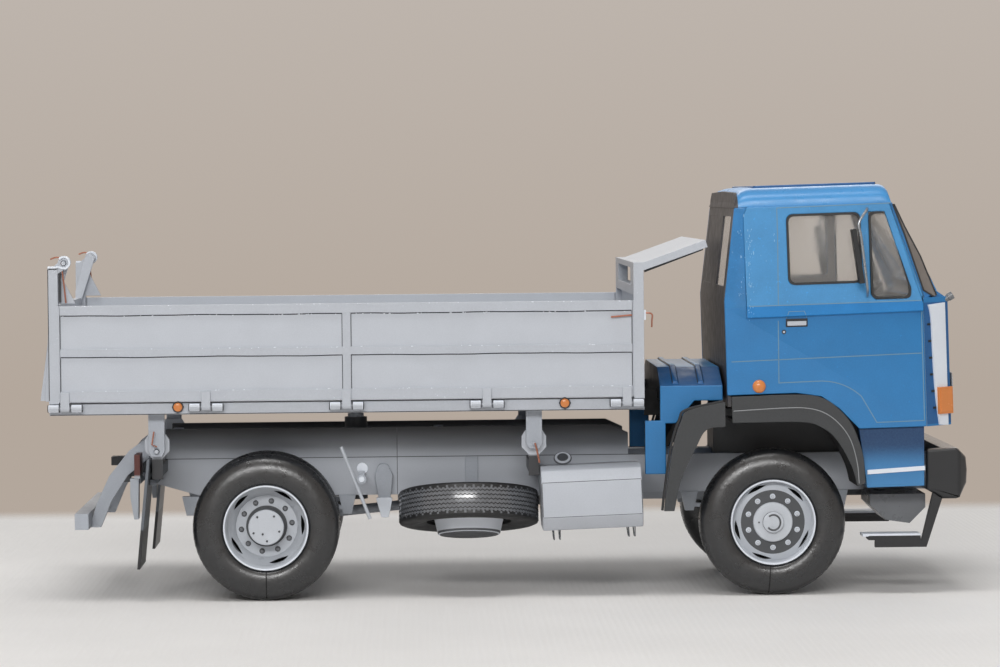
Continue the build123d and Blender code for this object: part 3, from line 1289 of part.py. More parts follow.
CANOPY_TIP_X = BODY_FRONT_X + 8.5
CANOPY_TIP_Z = POST_TOP_Z + 3.0
with BuildPart() as headboard:
    block(POST_FRONT_REAR_X, BODY_FRONT_X, -BODY_HALF_WIDTH, BODY_HALF_WIDTH, FLOOR_TOP_Z, POST_TOP_Z)
    recess_y = BODY_HALF_WIDTH - 1.1
    recess_z = (FLOOR_TOP_Z + 0.9, BOARD_TOP_Z + 0.7)
    block(POST_FRONT_REAR_X - 1, BODY_FRONT_X - 0.6, -recess_y, recess_y, *recess_z, Mode.SUBTRACT)
    # look-out slot under the canopy
    slot_y = BODY_HALF_WIDTH - 7.5
    slot_z = (BOARD_TOP_Z + 2.0, POST_TOP_Z - 0.8)
    block(POST_FRONT_REAR_X - 1, BODY_FRONT_X + 1, -slot_y, slot_y, *slot_z, Mode.SUBTRACT)
    side_shape(
        [
            (BODY_FRONT_X, POST_TOP_Z - 1.1),
            (CANOPY_TIP_X + 0.3, CANOPY_TIP_Z - 1.0),
            (CANOPY_TIP_X, CANOPY_TIP_Z),
            (BODY_FRONT_X, POST_TOP_Z),
        ],
        -BODY_HALF_WIDTH,
        BODY_HALF_WIDTH,
    )
headboard.part.label = "headboard"
export_step(headboard.part, "parts/headboard.step")

REAR_POST_Y = BODY_HALF_WIDTH - 1.6
RING_RADIUS = 0.8
with BuildPart() as rear_posts:
    post_y = (-BODY_HALF_WIDTH + 0.1, -REAR_POST_Y)
    block(BODY_REAR_X, BODY_REAR_X + POST_LENGTH, *post_y, FLOOR_TOP_Z, POST_TOP_Z)
    side_shape(
        [
            (BODY_REAR_X + POST_LENGTH, POST_TOP_Z - 0.4),
            (BODY_REAR_X + POST_LENGTH, BOARD_TOP_Z + 0.3),
            (BODY_REAR_X + POST_LENGTH + 2.3, BOARD_TOP_Z + 0.3),
        ],
        -REAR_POST_Y - 0.5,
        -REAR_POST_Y,
    )
    side_shape(
        [
            (BODY_REAR_X + 0.6, POST_TOP_Z),
            (GATE_PIVOT_X - 0.5, GATE_PIVOT_Z + 0.3),
            (GATE_PIVOT_X + 0.5, GATE_PIVOT_Z - 0.6),
            (BODY_REAR_X + POST_LENGTH, POST_TOP_Z - 0.8),
            (BODY_REAR_X + 0.6, POST_TOP_Z - 0.8),
        ],
        -BODY_HALF_WIDTH + 0.3,
        -REAR_POST_Y,
    )
    ring_face = (GATE_PIVOT_X, -BODY_HALF_WIDTH + 0.3, GATE_PIVOT_Z)
    rod(ring_face, (GATE_PIVOT_X, -REAR_POST_Y, GATE_PIVOT_Z), RING_RADIUS)
    rod(
        (GATE_PIVOT_X, -BODY_HALF_WIDTH, GATE_PIVOT_Z),
        (GATE_PIVOT_X, -REAR_POST_Y + 1, GATE_PIVOT_Z),
        PIVOT_PIN_RADIUS + RUN_GAP,
        Mode.SUBTRACT,
    )
    mirror(about=Plane.XZ)
rear_posts.part.label = "rear_posts"
export_step(rear_posts.part, "parts/rear_posts.step")

LUG_HALF_LENGTH = 1.1
with BuildPart() as bed_lugs:
    for lug_x, pin_z, has_bore in ((TIP_X, TIP_Z, True), (FRONT_LUG_X, TIP_Z + 0.6, False)):
        side_shape(
            [
                (lug_x - LUG_HALF_LENGTH, SILL_BOTTOM_Z + 0.1),
                (lug_x - LUG_HALF_LENGTH, pin_z),
                (lug_x - 0.7, pin_z - 0.7),
                (lug_x + 0.7, pin_z - 0.7),
                (lug_x + LUG_HALF_LENGTH, pin_z),
                (lug_x + LUG_HALF_LENGTH, SILL_BOTTOM_Z + 0.1),
            ],
            -LUG_Y - LUG_THICK,
            -LUG_Y,
        )
        lug_ends = (lug_x - LUG_HALF_LENGTH, lug_x + LUG_HALF_LENGTH)
        block(*lug_ends, -LUG_Y - LUG_THICK, -LUG_Y, SILL_BOTTOM_Z, FLOOR_BOTTOM_Z)
        if has_bore:
            rod(
                (lug_x, -LUG_Y - 2, pin_z),
                (lug_x, -LUG_Y + 1, pin_z),
                PIVOT_PIN_RADIUS + RUN_GAP,
                Mode.SUBTRACT,
            )
        else:
            rod((lug_x, -LUG_Y - LUG_THICK - 0.5, pin_z), (lug_x, -LUG_Y + 1.1, pin_z), PIVOT_PIN_RADIUS)
    mirror(about=Plane.XZ)
bed_lugs.part.label = "bed_lugs"
export_step(bed_lugs.part, "parts/bed_lugs.step")

CHEEK_Y = LUG_Y - SIDE_GAP
with BuildPart() as body_brackets:
    for lug_x, pin_z, closed in ((TIP_X, TIP_Z, True), (FRONT_LUG_X, TIP_Z + 0.6, False)):
        # outrigger from the frame rail, with a cheek plate beside the lug
        block(lug_x - 0.75, lug_x + 0.75, -CHEEK_Y, -RAIL_OUTER_Y, RAIL_TOP_Z - 1.6, RAIL_TOP_Z)
        side_shape(
            [
                (lug_x - 0.75, RAIL_TOP_Z - 2.0),
                (lug_x - 0.75, RAIL_TOP_Z + 0.9),
                (lug_x - 1.7, RAIL_TOP_Z + 1.9),
                (lug_x - 1.7, 22.2),
                (lug_x - 1.2, 23.0),
                (lug_x + 1.2, 23.0),
                (lug_x + 1.7, 22.2),
                (lug_x + 1.7, RAIL_TOP_Z + 1.9),
                (lug_x + 0.75, RAIL_TOP_Z + 0.9),
                (lug_x + 0.75, RAIL_TOP_Z - 2.0),
            ],
            -CHEEK_Y,
            -CHEEK_Y + 0.7,
        )
        if closed:
            pin_head = (lug_x, -LUG_Y - LUG_THICK - 0.5, pin_z)
            rod(pin_head, (lug_x, -CHEEK_Y + 0.7, pin_z), PIVOT_PIN_RADIUS)
        else:
            slot_half = PIVOT_PIN_RADIUS + 0.3
            slot_y = (-LUG_Y, -CHEEK_Y + 1.0)
            block(lug_x - slot_half, lug_x + slot_half, *slot_y, pin_z - 0.4, 24.0, Mode.SUBTRACT)
    mirror(about=Plane.XZ)
body_brackets.part.label = "body_brackets"
export_step(body_brackets.part, "parts/body_brackets.step")

# ---------------------------------------------------------------- side boards and tailgate
BOARD_REAR_X = BODY_REAR_X + POST_LENGTH + SIDE_GAP
BOARD_FRONT_X = POST_FRONT_REAR_X - SIDE_GAP
PANEL_FACE_Y = BODY_HALF_WIDTH - 0.3
BOARD_MIDDLE_X = (BOARD_REAR_X + BOARD_FRONT_X) / 2
# columns: lower and upper edge of each raised rail along the board
BOARD_RAILS = [(BOARD_BOTTOM_Z, 29.2), (33.9, 34.95), (39.6, BOARD_TOP_Z)]
STILE_HALF_LENGTH = 0.55
for side_name, sign in SIDES.items():
    with BuildPart() as side_board:
        panel_y = sorted((sign * (PANEL_FACE_Y - BOARD_THICK), sign * PANEL_FACE_Y))
        face_y = sorted((sign * (PANEL_FACE_Y - 0.1), sign * BODY_HALF_WIDTH))
        block(BOARD_REAR_X, BOARD_FRONT_X, *panel_y, BOARD_BOTTOM_Z, BOARD_TOP_Z)
        for low_z, high_z in BOARD_RAILS:
            block(BOARD_REAR_X, BOARD_FRONT_X, *face_y, low_z, high_z)
        # one raised stile in the middle: the posts close the ends
        stile_x = (BOARD_MIDDLE_X - STILE_HALF_LENGTH, BOARD_MIDDLE_X + STILE_HALF_LENGTH)
        block(*stile_x, *face_y, BOARD_BOTTOM_Z, BOARD_TOP_Z)
        for hinge_x in HINGE_STATIONS:
            # a strap from the lower rail wraps the hinge pin
            strap_y = sorted((sign * (BODY_HALF_WIDTH - 0.1), sign * (BODY_HALF_WIDTH + 0.4)))
            block(hinge_x - STRAP_WIDTH / 2, hinge_x + STRAP_WIDTH / 2, *strap_y, HINGE_Z, 29.0)
            rod(
                (hinge_x - STRAP_WIDTH / 2, sign * HINGE_Y, HINGE_Z),
                (hinge_x + STRAP_WIDTH / 2, sign * HINGE_Y, HINGE_Z),
                KNUCKLE_RADIUS,
            )
            rod(
                (hinge_x - STRAP_WIDTH, sign * HINGE_Y, HINGE_Z),
                (hinge_x + STRAP_WIDTH, sign * HINGE_Y, HINGE_Z),
                HINGE_PIN_RADIUS + RUN_GAP,
                Mode.SUBTRACT,
            )
    side_board.part.label = f"side_board_{side_name}"
    export_step(side_board.part, f"parts/side_board_{side_name}.step")

GATE_HALF_WIDTH = REAR_POST_Y - SIDE_GAP
with BuildPart() as tailgate:
    # the panel leans out a little from its top pivots
    side_shape(
        [
            (BODY_REAR_X, BOARD_TOP_Z),
            (BODY_REAR_X + 0.8, BOARD_TOP_Z),
            (BODY_REAR_X + 0.1, FLOOR_TOP_Z + 0.3),
            (BODY_REAR_X - 0.6, FLOOR_TOP_Z + 0.3),
        ],
        -GATE_HALF_WIDTH,
        GATE_HALF_WIDTH,
    )
    # tapered ribs, deepest at the foot
    for rib_y in (-19.2, -9.6, 0, 9.6, 19.2):
        side_shape(
            [
                (BODY_REAR_X + 0.1, BOARD_TOP_Z - 1.6),
                (BODY_REAR_X - 0.5, FLOOR_TOP_Z + 0.3),
                (BODY_REAR_X - 1.5, FLOOR_TOP_Z + 0.3),
            ],
            rib_y - 0.5,
            rib_y + 0.5,
        )
    # arms up to the pivots, with pins out through the posts
    for sign in (-1, 1):
        arm_y = sorted((sign * (GATE_HALF_WIDTH - 0.6), sign * GATE_HALF_WIDTH))
        side_shape(
            [
                (BODY_REAR_X + 0.0, BOARD_TOP_Z - 1.0),
                (BODY_REAR_X + 0.0, BOARD_TOP_Z + 1.0),
                (GATE_PIVOT_X - 0.8, GATE_PIVOT_Z),
                (GATE_PIVOT_X, GATE_PIVOT_Z + 0.7),
                (GATE_PIVOT_X + 0.7, GATE_PIVOT_Z),
                (BODY_REAR_X + 0.8, BOARD_TOP_Z - 0.6),
                (BODY_REAR_X + 0.75, BOARD_TOP_Z - 1.0),
            ],
            *arm_y,
        )
        rod(
            (GATE_PIVOT_X, sign * (GATE_HALF_WIDTH - 0.3), GATE_PIVOT_Z),
            (GATE_PIVOT_X, sign * (BODY_HALF_WIDTH - 0.1), GATE_PIVOT_Z),
            PIVOT_PIN_RADIUS,
        )
tailgate.part.label = "tailgate"
export_step(tailgate.part, "parts/tailgate.step")

# ---------------------------------------------------------------- wheels
OUTER_TYRE_Y = WHEEL_FACE_Y - TYRE_WIDTH / 2
INNER_TYRE_Y = OUTER_TYRE_Y - TYRE_WIDTH - TWIN_GAP
BORE_RADIUS = STUB_RADIUS + RUN_GAP
LIP_Y = WHEEL_FACE_Y - 0.25
FRONT_RIM = [
    (0, 20.3), (BORE_RADIUS, 20.3), (BORE_RADIUS, FRONT_HUB_INNER_Y), (2.2, FRONT_HUB_INNER_Y),
    (2.2, 19.6), (4.2, 20.0), (5.1, 19.2), (5.3, WHEEL_FACE_Y - TYRE_WIDTH + 0.5),
    (RIM_RADIUS, WHEEL_FACE_Y - TYRE_WIDTH + 0.5), (RIM_RADIUS, LIP_Y), (5.45, LIP_Y), (5.3, 20.1),
    (4.35, 20.8), (2.7, 20.8), (2.7, 21.3), (1.35, 21.3), (1.35, 21.8), (0, 21.8),
]
REAR_RIM = [
    (0, 19.0), (BORE_RADIUS, 19.0), (BORE_RADIUS, HUB_INNER_Y), (2.4, HUB_INNER_Y),
    (2.4, 16.4), (4.3, 16.6), (5.3, 15.0), (5.3, TWIN_INNER_Y + 0.5),
    (RIM_RADIUS, TWIN_INNER_Y + 0.5), (RIM_RADIUS, LIP_Y), (5.45, LIP_Y), (5.3, 19.4),
    (4.3, 17.9), (2.6, 17.9), (2.6, 20.6), (0, 20.6),
]
# columns: end of the truck, axle station, tyre centres from the middle, rim outline
WHEELS = [
    ("front", FRONT_AXLE_X, [OUTER_TYRE_Y], FRONT_RIM),
    ("rear", REAR_AXLE_X, [OUTER_TYRE_Y, INNER_TYRE_Y], REAR_RIM),
]
for end_name, wheel_x, tyre_centres, rim_outline in WHEELS:
    for side_name, sign in SIDES.items():
        with BuildPart() as tyres:
            for centre_y in tyre_centres:
                tyre(wheel_x, AXLE_Z, sign * centre_y, TYRE_WIDTH)
        tyres.part.label = f"tyre_{end_name}_{side_name}"
        export_step(tyres.part, f"parts/tyre_{end_name}_{side_name}.step")

        with BuildPart() as rim:
            turned(wheel_x, AXLE_Z, [(radius, sign * y) for radius, y in rim_outline])
        rim.part.label = f"rim_{end_name}_{side_name}"
        export_step(rim.part, f"parts/rim_{end_name}_{side_name}.step")
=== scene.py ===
"""Looks for a card scale model of a two-axle dump truck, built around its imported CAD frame."""

import json
import math
import random

import bmesh
import bpy
from mathutils import Matrix, Vector
from mathutils.geometry import delaunay_2d_cdt

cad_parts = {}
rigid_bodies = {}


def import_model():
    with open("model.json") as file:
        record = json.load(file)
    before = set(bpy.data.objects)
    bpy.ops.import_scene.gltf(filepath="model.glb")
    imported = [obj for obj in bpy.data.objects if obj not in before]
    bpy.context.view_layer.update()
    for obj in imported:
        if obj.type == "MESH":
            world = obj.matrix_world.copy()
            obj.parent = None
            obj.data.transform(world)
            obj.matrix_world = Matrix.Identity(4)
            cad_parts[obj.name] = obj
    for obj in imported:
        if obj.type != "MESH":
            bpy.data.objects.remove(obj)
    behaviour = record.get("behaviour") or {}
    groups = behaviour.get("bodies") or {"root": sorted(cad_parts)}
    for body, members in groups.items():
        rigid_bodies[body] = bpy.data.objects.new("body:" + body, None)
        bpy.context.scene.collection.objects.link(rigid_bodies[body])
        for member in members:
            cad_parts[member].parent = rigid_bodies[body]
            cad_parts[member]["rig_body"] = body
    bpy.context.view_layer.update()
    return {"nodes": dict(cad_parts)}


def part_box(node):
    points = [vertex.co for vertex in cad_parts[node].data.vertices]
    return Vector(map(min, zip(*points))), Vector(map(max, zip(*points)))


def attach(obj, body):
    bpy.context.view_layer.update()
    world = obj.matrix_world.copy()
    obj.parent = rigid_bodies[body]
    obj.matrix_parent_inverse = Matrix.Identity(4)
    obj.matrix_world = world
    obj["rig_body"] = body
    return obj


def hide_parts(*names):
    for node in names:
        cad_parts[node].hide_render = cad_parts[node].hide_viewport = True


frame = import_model()

MM = 0.001  # shapes below are worked out in millimetres
RIGHT, LEFT = -1, 1  # signs of Y for the two sides of the truck
SIDES = {"right": RIGHT, "left": LEFT}


def box_mm(node):
    """Lowest and highest corner of a CAD node, in millimetres."""
    low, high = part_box(node)
    return low / MM, high / MM


# ------------------------------------------------------------------ main sizes, read from the frame
TYRE_LOW, TYRE_HIGH = box_mm("tyre_front_right")
REAR_LOW, REAR_HIGH = box_mm("tyre_rear_right")
BOARD_LOW, BOARD_HIGH = box_mm("side_board_right")
BED_LOW, BED_HIGH = box_mm("bed_floor")
FRONT_AXLE_X = (TYRE_LOW.x + TYRE_HIGH.x) / 2
REAR_AXLE_X = (REAR_LOW.x + REAR_HIGH.x) / 2
TYRE_RADIUS = (TYRE_HIGH.z - TYRE_LOW.z) / 2
AXLE_Z = (TYRE_LOW.z + TYRE_HIGH.z) / 2
TYRE_WIDTH = TYRE_HIGH.y - TYRE_LOW.y
OUTER_MIDDLE_Y = -TYRE_LOW.y - TYRE_WIDTH / 2
INNER_MIDDLE_Y = -REAR_HIGH.y + TYRE_WIDTH / 2
CAB_REAR_X = FRONT_AXLE_X - 6.3
CAB_FRONT_X = FRONT_AXLE_X + 25.2
CAB_HALF_WIDTH = 22.8
CAB_FLOOR_Z = 27.7
WAIST_Z = 39.7
EAVES_Z = 53.4
EAVES_Y = CAB_HALF_WIDTH - 0.7
ROOF_Z = 56.15
CAB_TILT = math.radians(1.4)
BODY_REAR_X, BODY_FRONT_X = BED_LOW.x, BED_HIGH.x
BODY_HALF_WIDTH = 23.5


# ------------------------------------------------------------------ colours
def linear(red, green, blue):
    """A colour given on the usual 0-255 scale, as the shader wants it."""
    out = []
    for value in (red, green, blue):
        share = value / 255
        out.append(share / 12.92 if share <= 0.04045 else ((share + 0.055) / 1.055) ** 2.4)
    return (*out, 1.0)


def shade(colour, factor):
    return (*[min(1.0, channel * factor) for channel in colour[:3]], 1.0)


class Nodes:
    """A node tree under construction."""

    def __init__(self, tree):
        self.tree = tree

    def node(self, kind, inputs=(), **settings):
        """A new node; an input takes a value, or the output that feeds it."""
        made = self.tree.nodes.new("ShaderNode" + kind)
        for label, value in settings.items():
            setattr(made, label, value)
        for label, value in dict(inputs).items():
            if isinstance(value, bpy.types.NodeSocket):
                self.tree.links.new(value, made.inputs[label])
            else:
                made.inputs[label].default_value = value
        return made

    def spread(self, value, low, high, to_low, to_high, smooth=False):
        kind = "SMOOTHSTEP" if smooth else "LINEAR"
        inputs = {"Value": value, "From Min": low, "From Max": high, "To Min": to_low, "To Max": to_high}
        return self.node("MapRange", inputs, interpolation_type=kind).outputs["Result"]

    def highest(self, first, second):
        return self.node("Math", {0: first, 1: second}, operation="MAXIMUM").outputs[0]

    def mix(self, first, second, share):
        return self.node("Mix", {0: share, 6: first, 7: second}, data_type="RGBA").outputs[2]

    def part(self, vector, axis):
        return self.node("SeparateXYZ", {"Vector": vector}).outputs[axis]


class Paint(Nodes):
    """A material under construction, around one Principled shader."""

    def __init__(self, name, colour, roughness, **sockets):
        self.material = bpy.data.materials.new(name)
        self.material.use_nodes = True
        super().__init__(self.material.node_tree)
        self.shader = self.tree.nodes["Principled BSDF"]
        for label, value in {"Base Color": colour, "Roughness": roughness, **sockets}.items():
            self.shader.inputs[label].default_value = value
        self.place = self.node("TexCoord").outputs["Object"]

    def noise(self, per_mm, detail=2.0, rough=0.5):
        inputs = {"Vector": self.place, "Scale": per_mm / MM, "Detail": detail, "Roughness": rough}
        return self.node("TexNoise", inputs).outputs["Fac"]

    def link(self, output, label):
        self.tree.links.new(output, self.shader.inputs[label])

    def bump(self, height, strength, depth_mm):
        inputs = {"Height": height, "Strength": strength, "Distance": depth_mm * MM}
        self.link(self.node("Bump", inputs).outputs["Normal"], "Normal")


def card(name, rgb, roughness=0.5, mottle=0.07, grain=0.08, relief=0.12, glints=0.0, weave=5.0, **sockets):
    """Printed and lacquered card: cloudy ink, fine fibre, uneven lacquer, and glossy flecks painted lighter
    as highlights.
    """
    colour = linear(*rgb)
    paint = Paint(name, colour, roughness, **sockets)
    clouds = paint.spread(paint.noise(0.22, 4.0, 0.6), 0.3, 0.7, 0, 1)
    fibre = paint.noise(weave, 4.0, 0.65)
    cloudy = paint.mix(shade(colour, 1 - mottle), shade(colour, 1 + mottle), clouds)
    fibres = paint.spread(fibre, 0.25, 0.75, 0, 1)
    speckled = paint.mix(shade(colour, 1 - grain), shade(colour, 1 + grain), fibres)
    inked = paint.mix(cloudy, speckled, 0.5)
    lacquer = paint.spread(paint.noise(0.6, 3.0), 0.3, 0.7, roughness - 0.07, roughness + 0.07)
    # glints: flecks made glossier and painted half again as light, as painted highlights
    if glints:
        flecks = paint.spread(paint.noise(2.2, 2.0, 0.7), 0.72 - 0.1 * glints, 0.8, 0, 1, True)
        inked = paint.mix(inked, shade(colour, 1.5), flecks)
        lacquer = paint.spread(flecks, 0, 1, roughness, 0.2)
    paint.link(inked, "Base Color")
    paint.link(lacquer, "Roughness")
    paint.bump(fibre, relief, 0.03)
    return paint.material


def two_tone(name, lower_rgb, upper_rgb, split, fade=0.4, roughness=0.42, fleck=None, fleck_share=0.2):
    """Card of one colour up to a height in millimetres and another above it, with a fine fleck."""
    lower, upper = linear(*lower_rgb), linear(*upper_rgb)
    paint = Paint(name, lower, roughness)
    share = paint.spread(paint.part(paint.place, "Z"), split * MM, (split + fade) * MM, 0, 1, True)
    grain = paint.spread(paint.noise(4.0, 4.0, 0.65), 0.25, 0.75, 0.0, fleck_share)
    flecks = linear(*fleck) if fleck else paint.mix(shade(lower, 1.25), shade(upper, 0.8), share)
    paint.link(paint.mix(paint.mix(lower, upper, share), flecks, grain), "Base Color")
    paint.bump(paint.noise(5.0, 3.0), 0.15, 0.03)
    return paint.material


def clear_film():
    """Thin clear film, a little smeared by its glue."""
    paint = Paint("clear_film", (0.97, 0.975, 0.975, 1), 0.05, IOR=1.45)
    paint.shader.inputs["Transmission Weight"].default_value = 0.92
    paint.link(paint.spread(paint.noise(0.25, 3.0), 0.35, 0.7, 0.02, 0.14), "Roughness")
    return paint.material


BLUE = card("blue_side", (40, 118, 176), 0.42, mottle=0.1, grain=0.14, glints=0.3)
# the side's blue painted lighter, as painted light on faces that lean up: the raised skin and the engine
# cover's tops
LIT_SKIN_BLUE = card("blue_skin_lit", (64, 138, 192), 0.36, mottle=0.14, grain=0.14, glints=0.9)
# the side's blue painted a little lighter for the skin's flared fold, as painted light on a face turned up
LIT_FOLD_BLUE = card("blue_fold_lit", (44, 122, 184), 0.5, mottle=0.12, grain=0.12, glints=0.3, IOR=1.25)
# the side's blue painted lighter for the roof, as painted light from above
LIT_ROOF_BLUE = card("blue_roof_lit", (70, 144, 202), 0.32, mottle=0.08, grain=0.1)
# a darker blue: painted shade on the engine cover's slope and the roof panel, and the dark band on the front
# corners
DEEP_BLUE = card("blue_shaded", (32, 90, 144), 0.4, mottle=0.15, grain=0.15)
# glossy glue on the cab's rear corner strip, painted a little lighter with flecks as painted highlights
GLUED_BLUE_GLINTS = card("blue_glued_glints", (52, 122, 178), 0.2, mottle=0.25, grain=0.15, glints=1.0)
# step boxes: dark blue above 17.2 mm is painted shade under the cab's overhang
STEP_BLUE_PAINTED_SHADE = two_tone("blue_step_painted_shade", (60, 124, 176), (8, 50, 92), 17.2, 3.8, 0.4, (96, 150, 194), 0.12)
GREY = card("grey_panel", (187, 191, 198), 0.42, mottle=0.05, grain=0.09)
RIB_GREY = card("grey_rib", (181, 185, 192), 0.4, mottle=0.05, grain=0.1, glints=0.3)
FRAME_GREY = card("grey_chassis", (168, 173, 181), 0.42, grain=0.12)
WHEEL_GREY = card("grey_wheel", (192, 196, 202), 0.34, mottle=0.08, grain=0.08)
BACK_GREY = card("back_wall", (66, 64, 66), 0.5, mottle=0.04, grain=0.05, relief=0.05)
DARK_GREY = card("grey_dark", (74, 76, 79), 0.45)
STEEL_GREY = card("grey_steel", (112, 114, 117), 0.3, mottle=0.15, grain=0.08)
# rails: near black above 19.2 mm, painted shadow of the body above them
RAIL_GREY_PAINTED_SHADOW = two_tone("rail_card_painted_shadow", (178, 182, 189), (44, 45, 48), 19.2, 4.0)
BRACKET_GREY = two_tone("bracket_card", (54, 55, 58), (186, 190, 197), 19.4)
LAMP_RED = two_tone("lamp_card", (158, 163, 170), (84, 38, 32), 17.2)
FLAP_GREY = two_tone("flap_card", (36, 37, 39), (98, 103, 110), 9.8)
WHITE = card("white_card", (222, 227, 235), 0.45, mottle=0.03, grain=0.04)
INSIDE = card("card_inside", (204, 197, 190), 0.6)
CHARCOAL = card("charcoal_card", (38, 39, 41), 0.38, mottle=0.12, grain=0.25, glints=0.6)
MUDGUARD = card("charcoal_guard", (54, 56, 58), 0.45, mottle=0.1, grain=0.3, relief=0.3)
BLACK = card("black_card", (26, 27, 29), 0.4)
# near black: painted shade in wheel arches, behind rims, in the spare's dish and under the headboard; also
# tread and joint lines
SHADE_AND_LINE_BLACK = card("shadow_and_line_black", (14, 14, 15), 0.8)
INK = card("ink_line", (102, 138, 160), 0.5)
INK_GREY = card("ink_grey", (92, 94, 98), 0.55)
INK_DARK = card("ink_dark", (42, 44, 48), 0.55)
CREASE = card("crease_line", (142, 144, 146), 0.4)
ORANGE = card("orange_paint", (214, 132, 72), 0.22, mottle=0.08, grain=0.05)
COPPER = card("copper_wire", (176, 118, 98), 0.3, Metallic=0.6)
WIRE = card("bright_wire", (150, 154, 158), 0.25, Metallic=0.6)
# glue beads painted near white, as painted glints
GLUE_GLINT_WHITE = card("glue_bead_glint", (226, 230, 236), 0.12, mottle=0.02, grain=0.02)
# glue specks painted a light blue, as painted glints
BLUE_GLUE_GLINTS = card("glue_on_blue_glints", (136, 184, 222), 0.1, mottle=0.1, grain=0.1)
TYRE = card("tyre_card", (31, 32, 34), 0.3, mottle=0.2, grain=0.6, relief=1.2, weave=1.7, IOR=1.7)
TREAD = card("tread_paper", (104, 106, 110), 0.2, mottle=0.1, grain=0.35, relief=0.5, weave=1.7, IOR=1.7)
TREAD_INK = card("tread_ink", (28, 29, 31), 0.5)
SPARE_WALL = card("spare_wall", (36, 36, 37), 0.5)
SMOKED = card("smoked_pane", (118, 110, 104), 0.12, mottle=0.12, grain=0.05)
GLASS = clear_film()


# ------------------------------------------------------------------ mesh tools
def finish_piece(name, bm, body, materials, replaces=(), bevel=0.0, sharp=35, scale=MM):
    """Makes an object of a mesh in millimetres, dresses it, and lets it ride on its body."""
    bmesh.ops.recalc_face_normals(bm, faces=bm.faces)
    mesh = bpy.data.meshes.new(name)
    bm.to_mesh(mesh)
    bm.free()
    mesh.transform(Matrix.Scale(scale, 4))
    for material in materials:
        mesh.materials.append(material)
    mesh.polygons.foreach_set("use_smooth", [True] * len(mesh.polygons))
    mesh.set_sharp_from_angle(angle=math.radians(sharp))
    obj = bpy.data.objects.new(name, mesh)
    bpy.context.scene.collection.objects.link(obj)
    if bevel:
        rounding = obj.modifiers.new("edges", "BEVEL")
        rounding.width = bevel * MM
        rounding.segments = 2
        rounding.limit_method = "ANGLE"
        rounding.angle_limit = math.radians(40)
        rounding.use_clamp_overlap = False
        rounding.harden_normals = True
    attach(obj, body)
    if replaces:
        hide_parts(*replaces)
    return obj


def plain(node, *materials, pick=None, bevel=0.05):
    """A copy of a CAD node with rounded edges; pick(place, normal) chooses each face's material."""
    source = frame["nodes"][node]
    bm = bmesh.new()
    bm.from_mesh(source.data)
    bmesh.ops.remove_doubles(bm, verts=bm.verts, dist=1e-6)
    bmesh.ops.dissolve_limit(bm, angle_limit=math.radians(0.6), verts=bm.verts, edges=bm.edges)
    bmesh.ops.recalc_face_normals(bm, faces=bm.faces)
    for face in bm.faces:
        face.material_index = pick(face.calc_center_median() / MM, face.normal) if pick else 0
    finish_piece(node + "_card", bm, source["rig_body"], materials, [node], bevel, scale=1.0)


def bridge(bm, near, far, mat, wrap=True):
    """Faces between two rings of vertices; a ring of one vertex is a pole."""
    count = max(len(near), len(far))
    for i in range(count if wrap else count - 1):
        j = (i + 1) % count
        if len(near) == 1:
            corners = (near[0], far[j], far[i])
        elif len(far) == 1:
            corners = (near[i], near[j], far[0])
        else:
            corners = (near[i], near[j], far[j], far[i])
        bm.faces.new(corners).material_index = mat


def add_shell(bm, rings, closed=False, mat=0):
    """Skins a run of equal rings of points; the ends are capped unless the run closes."""
    made = [[bm.verts.new(point) for point in ring] for ring in rings]
    for near, far in zip(made, made[1:]):
        bridge(bm, near, far, mat)
    if closed:
        bridge(bm, made[-1], made[0], mat)
    else:
        bm.faces.new(list(reversed(made[0]))).material_index = mat
        bm.faces.new(made[-1]).material_index = mat


def add_box(bm, x, y, z, mat=0, sign=1):
    """A box from three (low, high) pairs, on the side of the truck that sign gives."""
    near, far = sorted((sign * y[0], sign * y[1]))
    rings = [[(end, near, z[0]), (end, far, z[0]), (end, far, z[1]), (end, near, z[1])] for end in x]
    add_shell(bm, rings, mat=mat)


def square_to(axis):
    """Two directions square to an axis and to each other."""
    across = axis.orthogonal().normalized()
    return across, axis.cross(across)


def circle(centre, across, other, radius, sides):
    """Points round a centre, in the plane of two directions."""
    turns = [2 * math.pi * k / sides for k in range(sides)]
    return [centre + radius * (math.cos(turn) * across + math.sin(turn) * other) for turn in turns]


def add_tube(bm, points, radius, sides=10, mat=0, closed=False):
    """A round wire along points, bent by carrying its cross-section along."""
    points = [Vector(p) for p in points]
    count = len(points)
    rings = []
    across = None
    for i, point in enumerate(points):
        before = points[i - 1] if i or closed else point
        after = points[(i + 1) % count] if i < count - 1 or closed else point
        along = (after - before).normalized()
        if across is None:
            across = along.orthogonal().normalized()
        across = (across - along * across.dot(along)).normalized()
        rings.append(circle(point, across, along.cross(across), radius, sides))
    add_shell(bm, rings, closed, mat)


def add_cylinder(bm, centre, axis, radius, length, sides=12, mat=0, taper=1.0):
    centre, axis = Vector(centre), Vector(axis).normalized()
    foot = circle(centre, *square_to(axis), radius, sides)
    head = circle(centre + axis * length, *square_to(axis), radius * taper, sides)
    add_shell(bm, [foot, head], mat=mat)


def add_dome(bm, centre, axis, radius, height, sides=24, rings=6):
    """A low rounded drop of paint or glue standing on a face."""
    centre, axis = Vector(centre), Vector(axis).normalized()
    made = []
    for i in range(rings):
        turn = math.pi / 2 * i / rings
        lifted = centre + axis * height * math.sin(turn)
        ring = circle(lifted, *square_to(axis), radius * math.cos(turn), sides)
        made.append([bm.verts.new(point) for point in ring])
    made.append([bm.verts.new(centre + axis * height)])
    for near, far in zip(made, made[1:]):
        bridge(bm, near, far, 0)
    bm.faces.new(list(reversed(made[0])))


